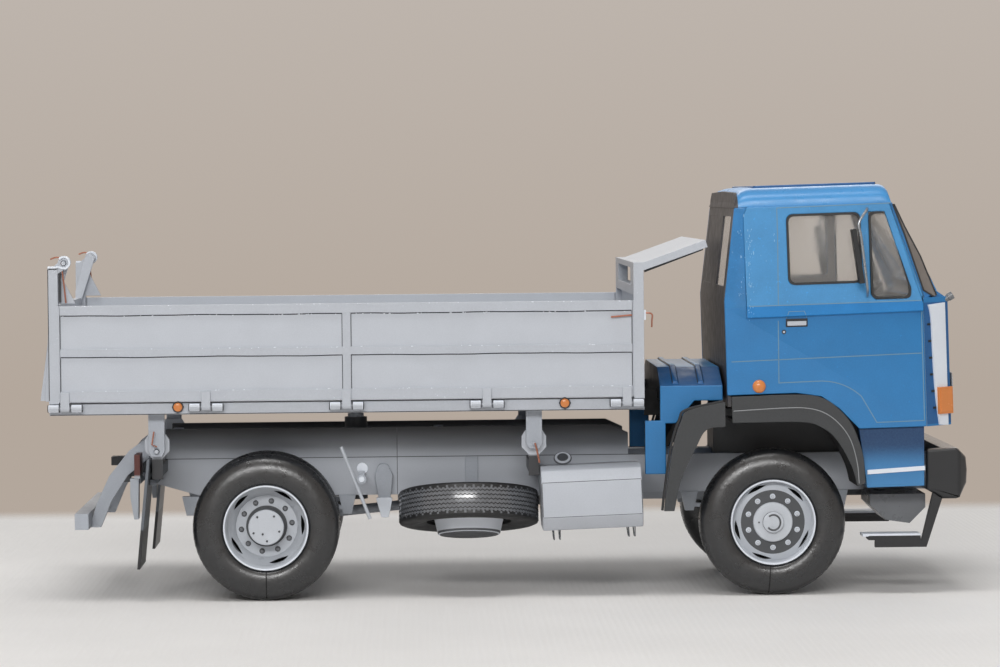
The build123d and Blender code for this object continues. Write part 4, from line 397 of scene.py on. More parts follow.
def add_lathe(bm, x, z, profile, segments=72, mats=None, sign=1):
    """Turns (radius, y) points about a line along Y; one material index per step of the profile."""
    made = []
    for radius, y in profile:
        sides = segments if radius > 1e-6 else 1
        turns = [2 * math.pi * k / segments for k in range(sides)]
        ring = [(x + radius * math.cos(turn), sign * y, z + radius * math.sin(turn)) for turn in turns]
        made.append([bm.verts.new(point) for point in ring])
    for i, (near, far) in enumerate(zip(made, made[1:] + made[:1])):
        if max(len(near), len(far)) > 1:
            bridge(bm, near, far, mats[i] if mats else 0)


def smooth_run(points, steps=5):
    """Catmull-Rom points through a short run of bends."""
    points = [Vector(p) for p in points]
    ends = [2 * points[0] - points[1]] + points + [2 * points[-1] - points[-2]]
    out = []
    for a, b, c, d in zip(ends, ends[1:], ends[2:], ends[3:]):
        bend, twist = 2 * a - 5 * b + 4 * c - d, 3 * b - a - 3 * c + d
        for t in [k / steps for k in range(steps)]:
            out.append(0.5 * (2 * b + (c - a) * t + bend * t**2 + twist * t**3))
    return out + [points[-1]]


def inside(point, outline):
    """Whether a flat point lies inside a closed outline."""
    x, y = point
    hit = False
    for (ax, ay), (bx, by) in zip(outline, outline[1:] + outline[:1]):
        if (ay > y) != (by > y) and x < (bx - ax) * (y - ay) / (by - ay) + ax:
            hit = not hit
    return hit


def add_plate(bm, outer, holes, place, low, high, mat=0, extra=()):
    """A sheet with holes: flat outlines set on a surface by place(u, v, height), between two heights."""
    outlines = [list(outer)] + [list(hole) for hole in holes]
    flat = [Vector(p) for outline in outlines for p in outline] + [Vector(p) for p in extra]
    edges = []
    for outline in outlines:
        start = len(edges)
        edges += [(start + i, start + (i + 1) % len(outline)) for i in range(len(outline))]
    verts, _, faces, *_ = delaunay_2d_cdt(flat, edges, [], 0, 1e-5)
    kept = []
    for face in faces:
        middle = sum((verts[i] for i in face), Vector((0, 0))) / len(face)
        if inside(middle, outlines[0]) and not any(inside(middle, hole) for hole in outlines[1:]):
            kept.append(face)
    lower = [bm.verts.new(place(v.x, v.y, low)) for v in verts]
    upper = [bm.verts.new(place(v.x, v.y, high)) for v in verts]
    borders = {}
    for face in kept:
        bm.faces.new([upper[i] for i in face]).material_index = mat
        bm.faces.new([lower[i] for i in reversed(face)]).material_index = mat
        for a, b in zip(face, list(face[1:]) + [face[0]]):
            key = (min(a, b), max(a, b))
            borders[key] = None if key in borders else (a, b)
    for a, b in filter(None, borders.values()):
        bm.faces.new((lower[a], lower[b], upper[b], upper[a])).material_index = mat
    for vert in lower + upper:
        if not vert.link_faces:
            bm.verts.remove(vert)


def add_line(bm, points, width, place, low=-0.02, high=0.015, mat=0, step=1.0):
    """A printed line or narrow strip: a flat ribbon along points, laid on a surface by place."""
    fine = []
    for (ax, ay), (bx, by) in zip(points, points[1:]):
        count = max(1, math.ceil(math.hypot(bx - ax, by - ay) / step))
        fine += [(ax + (bx - ax) * i / count, ay + (by - ay) * i / count) for i in range(count)]
    fine.append(points[-1])
    rings = []
    for i, (x, y) in enumerate(fine):
        before = fine[max(i - 1, 0)]
        after = fine[min(i + 1, len(fine) - 1)]
        first = Vector((x - before[0], y - before[1]))
        last = Vector((after[0] - x, after[1] - y))
        if first.length < 1e-9:
            first = last
        if last.length < 1e-9:
            last = first
        along = (first.normalized() + last.normalized()).normalized()
        reach = width / 2 / max(0.5, along.dot(last.normalized()))
        side = Vector((-along.y, along.x)) * reach
        near, far = (x + side.x, y + side.y), (x - side.x, y - side.y)
        rings.append([place(*near, low), place(*far, low), place(*far, high), place(*near, high)])
    add_shell(bm, rings, mat=mat)


STRAIGHT = 9  # step for lines whose surface doesn't bend under them


def polar(radius, degrees):
    turn = math.radians(degrees)
    return radius * math.cos(turn), radius * math.sin(turn)


def arc(x, y, radius, degrees):
    """Points on an arc at the given angles."""
    return [(x + u, y + v) for u, v in (polar(radius, angle) for angle in degrees)]


def rounded(points, radius, steps=5):
    """An outline with its corners rounded."""
    out = []
    count = len(points)
    for i, corner in enumerate(points):
        corner = Vector(corner)
        before = Vector(points[i - 1]) - corner
        after = Vector(points[(i + 1) % count]) - corner
        half = before.angle(after) / 2
        cut = min(radius / math.tan(half), before.length * 0.45, after.length * 0.45)
        start = corner + before.normalized() * cut
        end = corner + after.normalized() * cut
        for t in [k / steps for k in range(steps + 1)]:
            point = start * (1 - t) ** 2 + corner * 2 * t * (1 - t) + end * t**2
            out.append((point.x, point.y))
    return out


def panel(low_x, high_x, low_z, high_z, radius=0.0):
    """An upright rectangle's outline, its corners rounded if a radius is given."""
    corners = [(low_x, low_z), (high_x, low_z), (high_x, high_z), (low_x, high_z)]
    return rounded(corners, radius) if radius else corners


def upright(sign, face_y):
    """Places a side-view drawing on an upright face that stands face_y from the truck's middle."""
    return lambda x, z, height: (x, sign * (face_y + height), z)


def between(table, value):
    """Reads a (place, size) table between its rows."""
    for (a, first), (b, last) in zip(table, table[1:]):
        if value <= b:
            return first + (last - first) * max(0.0, value - a) / (b - a)
    return table[-1][1]


# ------------------------------------------------------------------ nodes kept as they are, face by face
PLAIN_NODES = (
    ("crossmembers rear_axle front_axle rear_springs front_springs gearbox propshaft", FRAME_GREY),
    ("air_tanks underrun_guard hoist_stage hoist_rod bed_lugs", FRAME_GREY),
    # rails and subframe carry the body's shadow painted dark at the top
    ("frame_rails subframe_beams", RAIL_GREY_PAINTED_SHADOW),
    ("engine battery_box tow_coupling hoist_barrel", DARK_GREY),
    ("silencer", STEEL_GREY),
    ("body_brackets", BRACKET_GREY),
    ("rear_lamps", LAMP_RED),
    ("mudflaps", FLAP_GREY),
    ("seats dashboard boarding_steps", CHARCOAL),
    ("bed_floor headboard rear_posts", RIB_GREY),
    ("tailgate", GREY),
    ("cab_floor", INSIDE),
)
for names, material in PLAIN_NODES:
    for node in names.split():
        plain(node, material)
# the step boxes, darkened toward the top as painted shade
plain("step_boxes", STEP_BLUE_PAINTED_SHADE, bevel=0.1)
plain("cab_glass", GLASS, bevel=0)
# upward faces of the bumper take a light tan, a painted reflection on its glossy top
plain("bumper", CHARCOAL, SMOKED, pick=lambda at, normal: 1 if normal.z > 0.6 else 0, bevel=0.4)
plain("cab_back", BACK_GREY, INSIDE, pick=lambda at, normal: 1 if normal.x > 0.5 else 0)
plain("cab_front", BLUE, INSIDE, pick=lambda at, normal: 1 if normal.x < -0.5 else 0)


def cover_light_and_shade(at, normal):
    """Painted light and shade: lighter tops, shaded darker slope, plain blue low down, black shaded ends."""
    if abs(normal.x) > 0.8:
        return 2
    if normal.z > 0.3 and abs(normal.y) > 0.1:
        return 1
    return 3 if at.z < 26 else 0


plain("engine_cover", LIT_SKIN_BLUE, DEEP_BLUE, BLACK, BLUE, pick=cover_light_and_shade, bevel=0.15)


# ------------------------------------------------------------------ cab sides, doors and windows
def turned(x, z, angle):
    """A side-view place turned about the cab's rear mounts."""
    u, w = x - CAB_REAR_X, z - CAB_FLOOR_Z
    return (
        CAB_REAR_X + u * math.cos(angle) - w * math.sin(angle),
        CAB_FLOOR_Z + w * math.cos(angle) + u * math.sin(angle),
    )


def tip(x, y, z):
    """A point of the level cab, as the real cab sits: tipped back a little."""
    x, z = turned(x, z, CAB_TILT)
    return (x, y, z)


SKIN_REAR_X = CAB_REAR_X + 3.0
# columns: height on the level cab, how far the outer face stands from the middle
WALL_FACE = [(20.0, CAB_HALF_WIDTH), (WAIST_Z, CAB_HALF_WIDTH), (EAVES_Z, EAVES_Y), (60.0, EAVES_Y - 0.34)]
SKIN_FACE = [
    (WAIST_Z - 1.52, CAB_HALF_WIDTH),
    (WAIST_Z - 1.5, CAB_HALF_WIDTH + 0.6),
    (WAIST_Z + 0.1, CAB_HALF_WIDTH + 0.25),
    (EAVES_Z, EAVES_Y + 0.25),
    (EAVES_Z + 0.02, EAVES_Y),
    (60.0, EAVES_Y - 0.34),
]


def cab_face(x, z):
    """How far the cab's side stands from the middle at a place seen from the side."""
    level_x, level_z = turned(x, z, -CAB_TILT)
    skin = level_x >= SKIN_REAR_X and level_z > WAIST_Z - 1.5
    return between(SKIN_FACE if skin else WALL_FACE, level_z)


def on_side(sign):
    """Places a drawing of the cab's side on its outer face."""
    return lambda x, z, height: (x, sign * (cab_face(x, z) + height), z)


def side_light_and_glue(at, normal):
    """Plain lower wall; skin and fold painted lighter as lit; glued rear strip with painted glints; bare card
    inside.
    """
    if normal.y * math.copysign(1, at.y) < -0.5:
        return 3
    level_x, level_z = turned(at.x, at.z, -CAB_TILT)
    if abs(at.y) > CAB_HALF_WIDTH + 0.28 and level_z < WAIST_Z + 0.1:
        return 2
    if level_z > WAIST_Z - 1 and level_x > SKIN_REAR_X + 0.02:
        return 1
    return 4 if level_z > WAIST_Z + 0.9 else 0


# printed lines of the door and wall, as (x, z) on the standing cab
WHEEL_ARCH_LINE = arc(43.5, 21.6, 7.95, [88 - 41 * i / 8 for i in range(1, 9)])
DOOR_LINES = [
    [(37.5, 53.4), (37.57, 49.0), (37.57, 40.1)],
    [(37.57, 37.9), (37.6, 29.36), (43.51, 29.57)] + WHEEL_ARCH_LINE + [(51.04, 23.79), (57.6, 24.0)],
    [(31.1, 32.31), (57.3, 33.27)],
    [(33.6, 39.9), (57.2, 40.5)],
    [(37.5, 53.35), (53.2, 53.9)],
    [(57.25, 39.0), (57.6, 24.0)],
]
DOOR_WINDOW = [(49.5, 52.2), (39.4, 52.2), (39.4, 42.6), (49.5, 42.6)]
QUARTER_WINDOW = [(52.9, 52.2), (50.7, 52.2), (50.75, 40.3), (56.05, 40.3), (56.15, 41.6)]
HANDLE_RECESS = [(38.6, 37.0), (41.6, 37.05), (41.6, 38.2), (38.6, 38.15)]
HANDLE_PLATE = [(38.8, 37.2), (41.4, 37.25), (41.4, 37.85), (38.8, 37.8)]
HANDLE_HOOD = [(38.65, 38.2), (39.0, 39.15), (41.1, 39.2), (41.5, 38.25)]
LOCK_X, LOCK_Z = 38.33, 36.35


def window_outline(corners, grow, radius):
    """A rounded window outline grown outwards, on the standing cab."""
    middle_x = sum(x for x, _ in corners) / len(corners)
    middle_z = sum(z for _, z in corners) / len(corners)
    out = []
    for x, z in corners:
        out.append((x + grow * math.copysign(1, x - middle_x), z + grow * math.copysign(1, z - middle_z)))
    return [turned(x, z, CAB_TILT) for x, z in rounded(out, radius)]


for side, sign in SIDES.items():
    plain("cab_side_" + side, BLUE, LIT_SKIN_BLUE, LIT_FOLD_BLUE, INSIDE, GLUED_BLUE_GLINTS, pick=side_light_and_glue, bevel=0.15)
    place = on_side(sign)
    bm = bmesh.new()
    for line in DOOR_LINES:
        add_line(bm, line, 0.13, place)
    finish_piece(f"door_lines_{side}", bm, "root", [INK])

    bm = bmesh.new()
    for corners, radius in ((DOOR_WINDOW, 1.1), (QUARTER_WINDOW, 1.0)):
        outer = window_outline(corners, 0.06, radius)
        inner = window_outline(corners, -0.26, radius * 0.8)
        add_plate(bm, outer, [inner], place, -0.35, 0.1)
    finish_piece(f"window_seals_{side}", bm, "root", [BLACK], bevel=0.03)

    bm = bmesh.new()
    add_plate(bm, rounded(HANDLE_RECESS, 0.1), [], place, -0.02, 0.06, 1)
    add_plate(bm, rounded(HANDLE_PLATE, 0.1), [], place, 0.0, 0.3, 0)
    add_line(bm, HANDLE_HOOD, 0.09, place, high=0.03, mat=2)
    for out, radius, length, sides, mat in ((-0.05, 0.3, 0.15, 16, 1), (0.05, 0.16, 0.12, 12, 0)):
        centre = (LOCK_X, sign * (CAB_HALF_WIDTH + out), LOCK_Z)
        add_cylinder(bm, centre, (0, sign, 0), radius, length, sides, mat)
    finish_piece(f"door_handle_{side}", bm, "root", [GREY, INK_DARK, INK], bevel=0.03)


# ---------------------------------------------------------- roof: a rolled shell with its raised panel
# columns: how far in from the eaves, how far up from them
ROOF_HALF = [(0, 0), (0.05, 0.8), (0.3, 1.4), (0.85, 1.95), (1.7, 2.35), (2.9, 2.56)]
ROOF_HALF += [(9, 2.68), (EAVES_Y, 2.75)]
ROOF_REAR_X = CAB_REAR_X + 1.8
ROOF_FRONT_X = CAB_FRONT_X - 8.4
# columns: how far in from the end, how much of the roof's rise is left there
ROOF_REAR_END = [(-0.1, 0.0), (0, 0.2), (0.2, 0.45), (0.55, 0.7), (1.1, 0.88), (1.8, 0.97), (2.6, 1.0)]
ROOF_FRONT_END = [(1.5, 1.0), (0.9, 0.98), (0.4, 0.9), (0.05, 0.72), (-0.15, 0.45), (-0.25, 0.2), (-0.3, 0.0)]
ROOF_STATIONS = [(ROOF_REAR_X + run, rise) for run, rise in ROOF_REAR_END]
ROOF_STATIONS += [(ROOF_FRONT_X - run, rise) for run, rise in ROOF_FRONT_END]
SHADED_REAR_STEPS = 3  # this much of the roof's rear is painted the back wall's dark grey, as painted shade


def roof_ring(x, rise, inset):
    half = [(max(0.0, EAVES_Y - run - inset), EAVES_Z + max(0.0, up * rise - inset)) for run, up in ROOF_HALF]
    return [tip(x, y, z) for y, z in half + [(-y, z) for y, z in reversed(half[:-1])]]


bm = bmesh.new()
outer = [[bm.verts.new(p) for p in roof_ring(x, rise, 0.0)] for x, rise in ROOF_STATIONS]
lining = [roof_ring(min(x, ROOF_FRONT_X - 0.2), rise, 0.4) for x, rise in ROOF_STATIONS]
inner = [[bm.verts.new(p) for p in ring] for ring in lining]
for skin, mat in ((outer, 0), (inner, 1)):
    for step, (near, far) in enumerate(zip(skin, skin[1:])):
        bridge(bm, near, far, 2 if step < SHADED_REAR_STEPS else mat, wrap=False)
bridge(bm, outer[0], inner[0], 2, wrap=False)
bridge(bm, outer[-1], inner[-1], 0, wrap=False)
for a, b, c, d in zip(outer, outer[1:], inner[1:], inner):
    for k in (0, -1):
        bm.faces.new((a[k], b[k], c[k], d[k]))
finish_piece("roof_shell", bm, "root", [LIT_ROOF_BLUE, INSIDE, BACK_GREY], ["cab_roof"], sharp=50)

PANEL_Y = CAB_HALF_WIDTH - 5.2


def on_roof(x, y, height):
    return tip(x, y, ROOF_Z - 0.35 - 0.15 * (y / PANEL_Y) ** 2 + height)


# the raised roof panel in the darker blue: painted shade along its raised edge
bm = bmesh.new()
raised = panel(ROOF_REAR_X + 3.0, ROOF_FRONT_X - 1.2, -PANEL_Y, PANEL_Y, 0.6)
add_plate(bm, raised, [], on_roof, 0.0, 0.64)
finish_piece("roof_panel", bm, "root", [DEEP_BLUE], bevel=0.12)

# a dark sheet inside the far back window: painted shade where the cabin is seen through it
bm = bmesh.new()
rings = []
for z in (WAIST_Z + 2.7, EAVES_Z - 1.1):
    x = CAB_REAR_X + 0.03 + (z - WAIST_Z - 1.0) * 1.8 / 12.7
    rings.append([tip(x + dx, y, z) for dx, y in ((0, 4.9), (0.1, 4.9), (0.1, 18.7), (0, 18.7))])
add_shell(bm, rings)
finish_piece("back_window_shade", bm, "root", [BACK_GREY])


# ---------------------------------------------------------- front corners: band, tapered strip, indicator
CORNER_RUN = (3.7, 2.6)  # how far the front corner is cut away, along X and along Y
STRIP_LOW_Z, STRIP_HIGH_Z = 22.5, WAIST_Z - 0.3
STRIP_EDGE = [(0.75, STRIP_HIGH_Z - 0.2), (1.15, 37.5), (1.3, 33.0), (1.45, 29.0), (1.75, 25.5)]
STRIP_EDGE += [(2.2, STRIP_LOW_Z + 0.1)]
STRIP_END = 3.75
TICK_EDGE = [(STRIP_LOW_Z, 2.2), (25.5, 1.75), (29.0, 1.45), (37.5, 1.15), (40, 0.75)]
INDICATOR_LOW_Z, INDICATOR_HIGH_Z = STRIP_LOW_Z + 1.6, STRIP_LOW_Z + 5.3
REPEATER_X, REPEATER_Z = turned(CAB_REAR_X + 4.4, CAB_FLOOR_Z + 1.1, CAB_TILT)


def corner_point(sign, share, lift, z):
    """A place on the chamfered front corner: share runs from the side wall to the front."""
    length = math.hypot(*CORNER_RUN)
    x = CAB_FRONT_X - 4.2 + (CORNER_RUN[0] * share + CORNER_RUN[1] * lift) / length
    y = CAB_HALF_WIDTH - (CORNER_RUN[1] * share - CORNER_RUN[0] * lift) / length
    return tip(x, sign * y, z)


def on_corner(sign):
    return lambda share, z, lift: corner_point(sign, share, lift, z)


for side, sign in SIDES.items():
    only_right = sign == RIGHT  # the first piece of a pair stands for the CAD node of both
    place = on_corner(sign)
    bm = bmesh.new()
    add_plate(bm, panel(0.1, 4.5, STRIP_LOW_Z + 0.3, STRIP_HIGH_Z + 0.1), [], place, -0.02, 0.04, 1)
    strip = smooth_run(STRIP_EDGE, 4) + [(STRIP_END, STRIP_LOW_Z), (STRIP_END, STRIP_HIGH_Z)]
    add_plate(bm, strip, [], place, 0.0, 0.34, 0)
    for tick in (25.0, 27.3, 29.6, 31.9, 34.2, 36.5):
        edge = between(TICK_EDGE, tick)
        add_line(bm, [(edge - 0.6, tick), (edge - 0.05, tick)], 0.3, place, 0.0, 0.12, 2)
    replaced = ["corner_deflectors"] if only_right else ()
    finish_piece(f"corner_strip_{side}", bm, "root", [WHITE, DEEP_BLUE, BLACK], replaced, 0.03)

    bm = bmesh.new()
    for inset, low, high in ((0.0, 0.3, 0.75), (0.25, 0.7, 0.85)):
        corners = panel(1.8 + inset, 4.35 - inset, INDICATOR_LOW_Z + inset, INDICATOR_HIGH_Z - inset)
        add_shell(bm, [[place(u, v, lift) for u, v in corners] for lift in (low, high)])
    add_dome(bm, (REPEATER_X, sign * CAB_HALF_WIDTH, REPEATER_Z), (0, sign, 0), 0.92, 0.6)
    replaced = ["indicators"] if only_right else ()
    finish_piece(f"indicator_{side}", bm, "root", [ORANGE], replaced, 0.05, sharp=50)

    # stub at the windscreen's foot
    bm = bmesh.new()
    for x, z, radius, length in ((60.4, 40.2, 0.45, 1.7), (61.3, 40.76, 0.56, 0.75)):
        add_cylinder(bm, (x, sign * 20.0, z), (1.6, 0, 1.0), radius, length, 16)
    finish_piece(f"corner_stub_{side}", bm, "root", [STEEL_GREY], bevel=0.05)

# smoked panes between the pillars and the windscreen
PANE_REAR = [(53.58, 53.74), (55.12, 49.68), (56.17, 46.57), (57.12, 43.73), (57.73, 41.88), (59.1, 41.0)]
PANE_FRONT = [(59.5, 41.15), (57.35, 46.5), (55.2, 50.6), (53.74, 53.74)]
bm = bmesh.new()
for sign in (RIGHT, LEFT):
    place = upright(sign, CAB_HALF_WIDTH - 1.38)
    add_plate(bm, PANE_REAR + PANE_FRONT, [], place, -0.05, 0.05)
    for line, width in ((PANE_REAR, 0.22), (PANE_FRONT, 0.2)):
        add_line(bm, line, width, place, 0.0, 0.09, 1)
finish_piece("corner_panes", bm, "root", [SMOKED, BLACK])

# mirrors: a dark plate on a bent light arm
MIRROR_PLATE = [(47.42, 50.3), (48.05, 50.45), (49.22, 43.0), (48.5, 42.9)]
MIRROR_ARM = [(49.9, 22.4, 53.2), (49.5, 25.0, 52.9), (48.4, 25.7, 51.2), (48.68, 25.75, 49.4)]
MIRROR_ARM += [(49.15, 25.7, 45.5), (49.56, 25.2, 42.3), (49.8, 23.2, 41.2)]
MIRROR_Y = CAB_HALF_WIDTH + 2.4
bm = bmesh.new()
for sign in (RIGHT, LEFT):
    add_shell(bm, [[(x, sign * y, z) for x, z in MIRROR_PLATE] for y in (MIRROR_Y + 0.5, MIRROR_Y - 1.7)])
    add_tube(bm, smooth_run([(x, sign * y, z) for x, y, z in MIRROR_ARM]), 0.2, 8, 1)
finish_piece("mirror_arms", bm, "root", [BLACK, WIRE], ["mirrors"], bevel=0.06)


# ------------------------------------------------------------------ windscreen and front panel
SCREEN_FOOT_Z = WAIST_Z + 1.4
SCREEN_SLOPE = (CAB_FRONT_X - 2.1 - ROOF_FRONT_X - 0.5) / (EAVES_Z - SCREEN_FOOT_Z)
SCREEN_Y = CAB_HALF_WIDTH - 3.0
GRILLE_Y = 12.2


def on_screen(y, z, height):
    lean = math.hypot(1, SCREEN_SLOPE)
    x = CAB_FRONT_X - 2.1 - (z - SCREEN_FOOT_Z) * SCREEN_SLOPE + height / lean
    return tip(x, y, z + height * SCREEN_SLOPE / lean)


def on_front(y, z, height):
    return tip(CAB_FRONT_X - 0.5 * abs(y) / 20.2 + height, y, z)


def screen_outline(low_y, high_y, low_z, high_z, radius):
    return rounded([(-low_y, low_z), (low_y, low_z), (high_y, high_z), (-high_y, high_z)], radius)


bm = bmesh.new()
outer = screen_outline(SCREEN_Y + 0.35, SCREEN_Y + 0.1, 41.7, 52.6, 1.2)
inner = screen_outline(SCREEN_Y - 0.25, SCREEN_Y - 0.4, 42.25, 52.0, 1.0)
add_plate(bm, outer, [inner], on_screen, -0.15, 0.18)
add_plate(bm, panel(-0.2, 0.2, 42.1, 52.2, 0.1), [], on_screen, -0.1, 0.12)
finish_piece("windscreen_seal", bm, "root", [BLACK], bevel=0.05)

bm = bmesh.new()
for root_y, tip_y in ((-14.0, -3.5), (3.0, 13.5)):
    elbow = on_screen((root_y + tip_y) / 2, 43.2, 0.5)
    add_tube(bm, [on_screen(root_y, 41.4, 0.35), elbow, on_screen(tip_y, 45.3, 0.4)], 0.12, 8)
    add_tube(bm, [on_screen(tip_y - 3.6, 43.4, 0.3), on_screen(tip_y + 3.2, 46.9, 0.3)], 0.16, 8)
finish_piece("wipers", bm, "root", [BLACK])

bm = bmesh.new()
for z in [25.1 + 0.85 * i for i in range(7)]:
    slat = [(-GRILLE_Y, z), (0, z), (GRILLE_Y, z), (GRILLE_Y, z + 0.42), (0, z + 0.42), (-GRILLE_Y, z + 0.42)]
    add_plate(bm, slat, [], on_front, 0.28, 0.6)
for sign in (RIGHT, LEFT):
    add_plate(bm, panel(sign * 12.6, sign * 16.9, 25.9, 29.5, 0.5), [], on_front, 0.5, 0.7, 1)
    add_plate(bm, panel(sign * 13.0, sign * 16.5, 26.3, 29.1, 0.5), [], on_front, 0.68, 0.8, 2)
    for y in [sign * (13.0 + 3.5 * k / 6) for k in range(1, 6)]:
        add_line(bm, [(y, 26.35), (y, 29.05)], 0.08, on_front, 0.79, 0.84, 1)
for z in (32.2, 34.6, 37.2):
    add_line(bm, [(-18.5, z), (0, z), (18.5, z)], 0.14, on_front, high=0.02, mat=3)
grille_card = [BLACK, STEEL_GREY, WHITE, INK]
finish_piece("front_grille", bm, "root", grille_card, ["grille"], bevel=0.03)

# white strips on the step boxes, and the treads below
STEP_STRIP = [(49.75, 16.62), (57.7, 17.12), (57.7, 17.72), (49.75, 17.22)]
bm = bmesh.new()
for sign in (RIGHT, LEFT):
    add_plate(bm, STEP_STRIP, [], upright(sign, CAB_HALF_WIDTH - 0.6), -0.05, 0.22)
finish_piece("step_strips", bm, "root", [WHITE], bevel=0.03)

bm = bmesh.new()
for sign in (RIGHT, LEFT):
    add_box(bm, (FRONT_AXLE_X + 12.3, FRONT_AXLE_X + 20.3), (18.2, 21.85), (8.0, 8.35), sign=sign)
finish_piece("tread_plates", bm, "root", [WHITE], bevel=0.05)


# ---------------------------------------------------------- mudguards: curved flanges with a folded crease
GUARD_Y = CAB_HALF_WIDTH + 0.1
GUARD_INNER_Y = 12.5
CAB_GUARD_OUTER = [(31.1, 27.5), (40.2, 27.5), (43.6, 26.9), (45.9, 25.2), (47.6, 22.9)]
CAB_GUARD_OUTER += [(48.75, 19.6), (49.05, 17.2)]
CAB_GUARD_OUTER += [(49.1, 15.0)]
CAB_GUARD_INNER = [(48.0, 14.6), (47.3, 17.4), (45.4, 21.0), (43.4, 22.8), (40.5, 23.7), (31.1, 23.9)]
CAB_CREASE = [(31.3, 25.55), (38.0, 25.9), (41.5, 25.85), (44.0, 25.1), (46.0, 23.5)]
CAB_CREASE += [(47.45, 21.3), (48.3, 18.2)]
CAB_CREASE += [(48.55, 15.4)]
REAR_GUARD_OUTER = [(30.2, 26.8), (25.1, 25.7), (24.1, 24.3), (23.0, 20.9), (22.1, 15.2), (21.7, 11.9)]
REAR_GUARD_INNER = [(23.1, 11.9), (24.1, 16.3), (26.1, 20.5), (27.6, 23.0), (30.2, 23.4)]


def add_guard(bm, outer, inner, sign, thickness):
    """A side flange between two smooth edges, and behind its inner edge a roof over the tyre, black as
    painted shade.
    """
    add_plate(bm, smooth_run(outer) + smooth_run(inner), [], upright(sign, 0), GUARD_Y - thickness, GUARD_Y)
    near, far = sign * (GUARD_Y - thickness - 0.05), sign * GUARD_INNER_Y
    rings = []
    for x, z in smooth_run(inner):
        out = (Vector((x, z)) - Vector((FRONT_AXLE_X, AXLE_Z))).normalized() * 0.5
        rings.append([(x, near, z), (x, far, z), (x + out.x, far, z + out.y), (x + out.x, near, z + out.y)])
    add_shell(bm, rings, mat=2)


bm = bmesh.new()
tipped_outer = [turned(x, z, CAB_TILT) for x, z in CAB_GUARD_OUTER]
tipped_inner = [turned(x, z, CAB_TILT) for x, z in CAB_GUARD_INNER]
for sign in (RIGHT, LEFT):
    add_guard(bm, tipped_outer, tipped_inner, sign, 0.6)
    add_line(bm, smooth_run(CAB_CREASE), 0.14, upright(sign, GUARD_Y), -0.03, 0.05, 1)
guard_card = [MUDGUARD, CREASE, SHADE_AND_LINE_BLACK]
finish_piece("cab_mudguard_card", bm, "root", guard_card, ["cab_mudguards"], bevel=0.06)

bm = bmesh.new()
for sign in (RIGHT, LEFT):
    add_guard(bm, REAR_GUARD_OUTER, REAR_GUARD_INNER, sign, 0.7)
    add_box(bm, (FRONT_AXLE_X - 12.9, FRONT_AXLE_X - 12.1), (8.0, 12.3), (16.6, 17.4), sign=sign)
    # the dark rim that shows round the guard
    edge = [(x - 0.25, z + 0.1) for x, z in smooth_run(REAR_GUARD_OUTER)]
    add_line(bm, edge, 0.35, upright(sign, GUARD_Y), -0.5, -0.1, 1)
guard_card = [MUDGUARD, BLACK, SHADE_AND_LINE_BLACK]
guard_nodes = ["chassis_mudguards"]
finish_piece("chassis_mudguard_card", bm, "root", guard_card, guard_nodes, bevel=0.05)


# ------------------------------------------------------------------ wheels
# columns: radius, half width of the tyre, from the bead to the middle of the tread
WALL_PROFILE = [(5.92, 2.2), (6.3, 2.52), (6.8, 2.68), (7.4, 2.74), (8.1, 2.7)]
WALL_PROFILE += [(8.8, 2.5), (9.4, 2.15), (9.8, 1.72), (10.02, 1.2), (10.1, 0.6)]
SLOT_TURNS = {"front": (116, 49, -30, 193, -108), "rear": (136, 61, 2, -70, 212)}  # degrees
# columns: radius, distance from the truck's middle
FRONT_HUB = [(4.42, 20.5), (4.42, 20.8), (2.74, 20.86), (2.7, 21.25), (2.6, 21.35), (1.46, 21.36)]
FRONT_HUB += [(1.44, 21.75), (1.34, 21.86), (0, 21.86), (0, 20.2)]
REAR_HUB = [(4.32, 17.6), (4.32, 18.0), (2.84, 18.05), (2.84, 18.25), (2.5, 18.25), (2.46, 20.45)]
REAR_HUB += [(2.36, 20.58), (0, 20.62), (0, 17.4)]
# columns: distance from the hub's middle, degrees round it
HUB_SCREWS = [(1.87, 54), (1.87, 130), (1.9, 204), (1.9, 273), (1.9, 342), (1.05, 243)]
CONE_RADIUS, NUT_RADIUS, NUT_COUNT = 5.48, 3.52, 10


def tread_lines(bm, radius, rows, teeth, place, mat, swing=0.14, width=0.16):
    """Printed tread: zigzag rows round a drum; place(distance round it, across it, height)."""
    pitch = 2 * math.pi * radius / (2 * teeth)
    for row in rows:
        points = [(pitch * i, row + (swing if i % 2 else -swing)) for i in range(2 * teeth + 1)]
        add_line(bm, points, width, place, high=0.012, mat=mat, step=STRAIGHT)


def around(x, z, radius, sign, middle):
    """Places a strip round a wheel standing on its axle."""
    return lambda distance, across, height: (
        x + (radius + height) * math.cos(distance / radius),
        sign * (middle + across),
        z + (radius + height) * math.sin(distance / radius),
    )


def joint_line(bm, x, sign, lean):
    """The dark glue joint down the tyre's wall, at its foot."""

    def place(u, v, height):
        half = between(WALL_PROFILE, math.hypot(u, v))
        return (x + u, sign * (OUTER_MIDDLE_Y + half + height), AXLE_Z + v)

    points = [polar(radius, lean) for radius in (6.0, 7.4, 8.8, 9.8)]
    add_line(bm, points, 0.16, place, -0.05, 0.03, 1, step=0.3)


def slot_outline(angle, radius, half_length, half_width, steps=10):
    """A lens-shaped slot lying along a circle, as flat (x, z) points."""
    out = []
    for sign in (1, -1):
        for t in [sign * (1 - 2 * i / steps) for i in range(steps)]:
            turn = math.radians(angle) + t * half_length / radius
            reach = radius + sign * half_width * math.cos(t * math.pi / 2)
            out.append((reach * math.cos(turn), reach * math.sin(turn)))
    return out


def flat_circle(radius, sides):
    return [polar(radius, 360 * i / sides) for i in range(sides)]


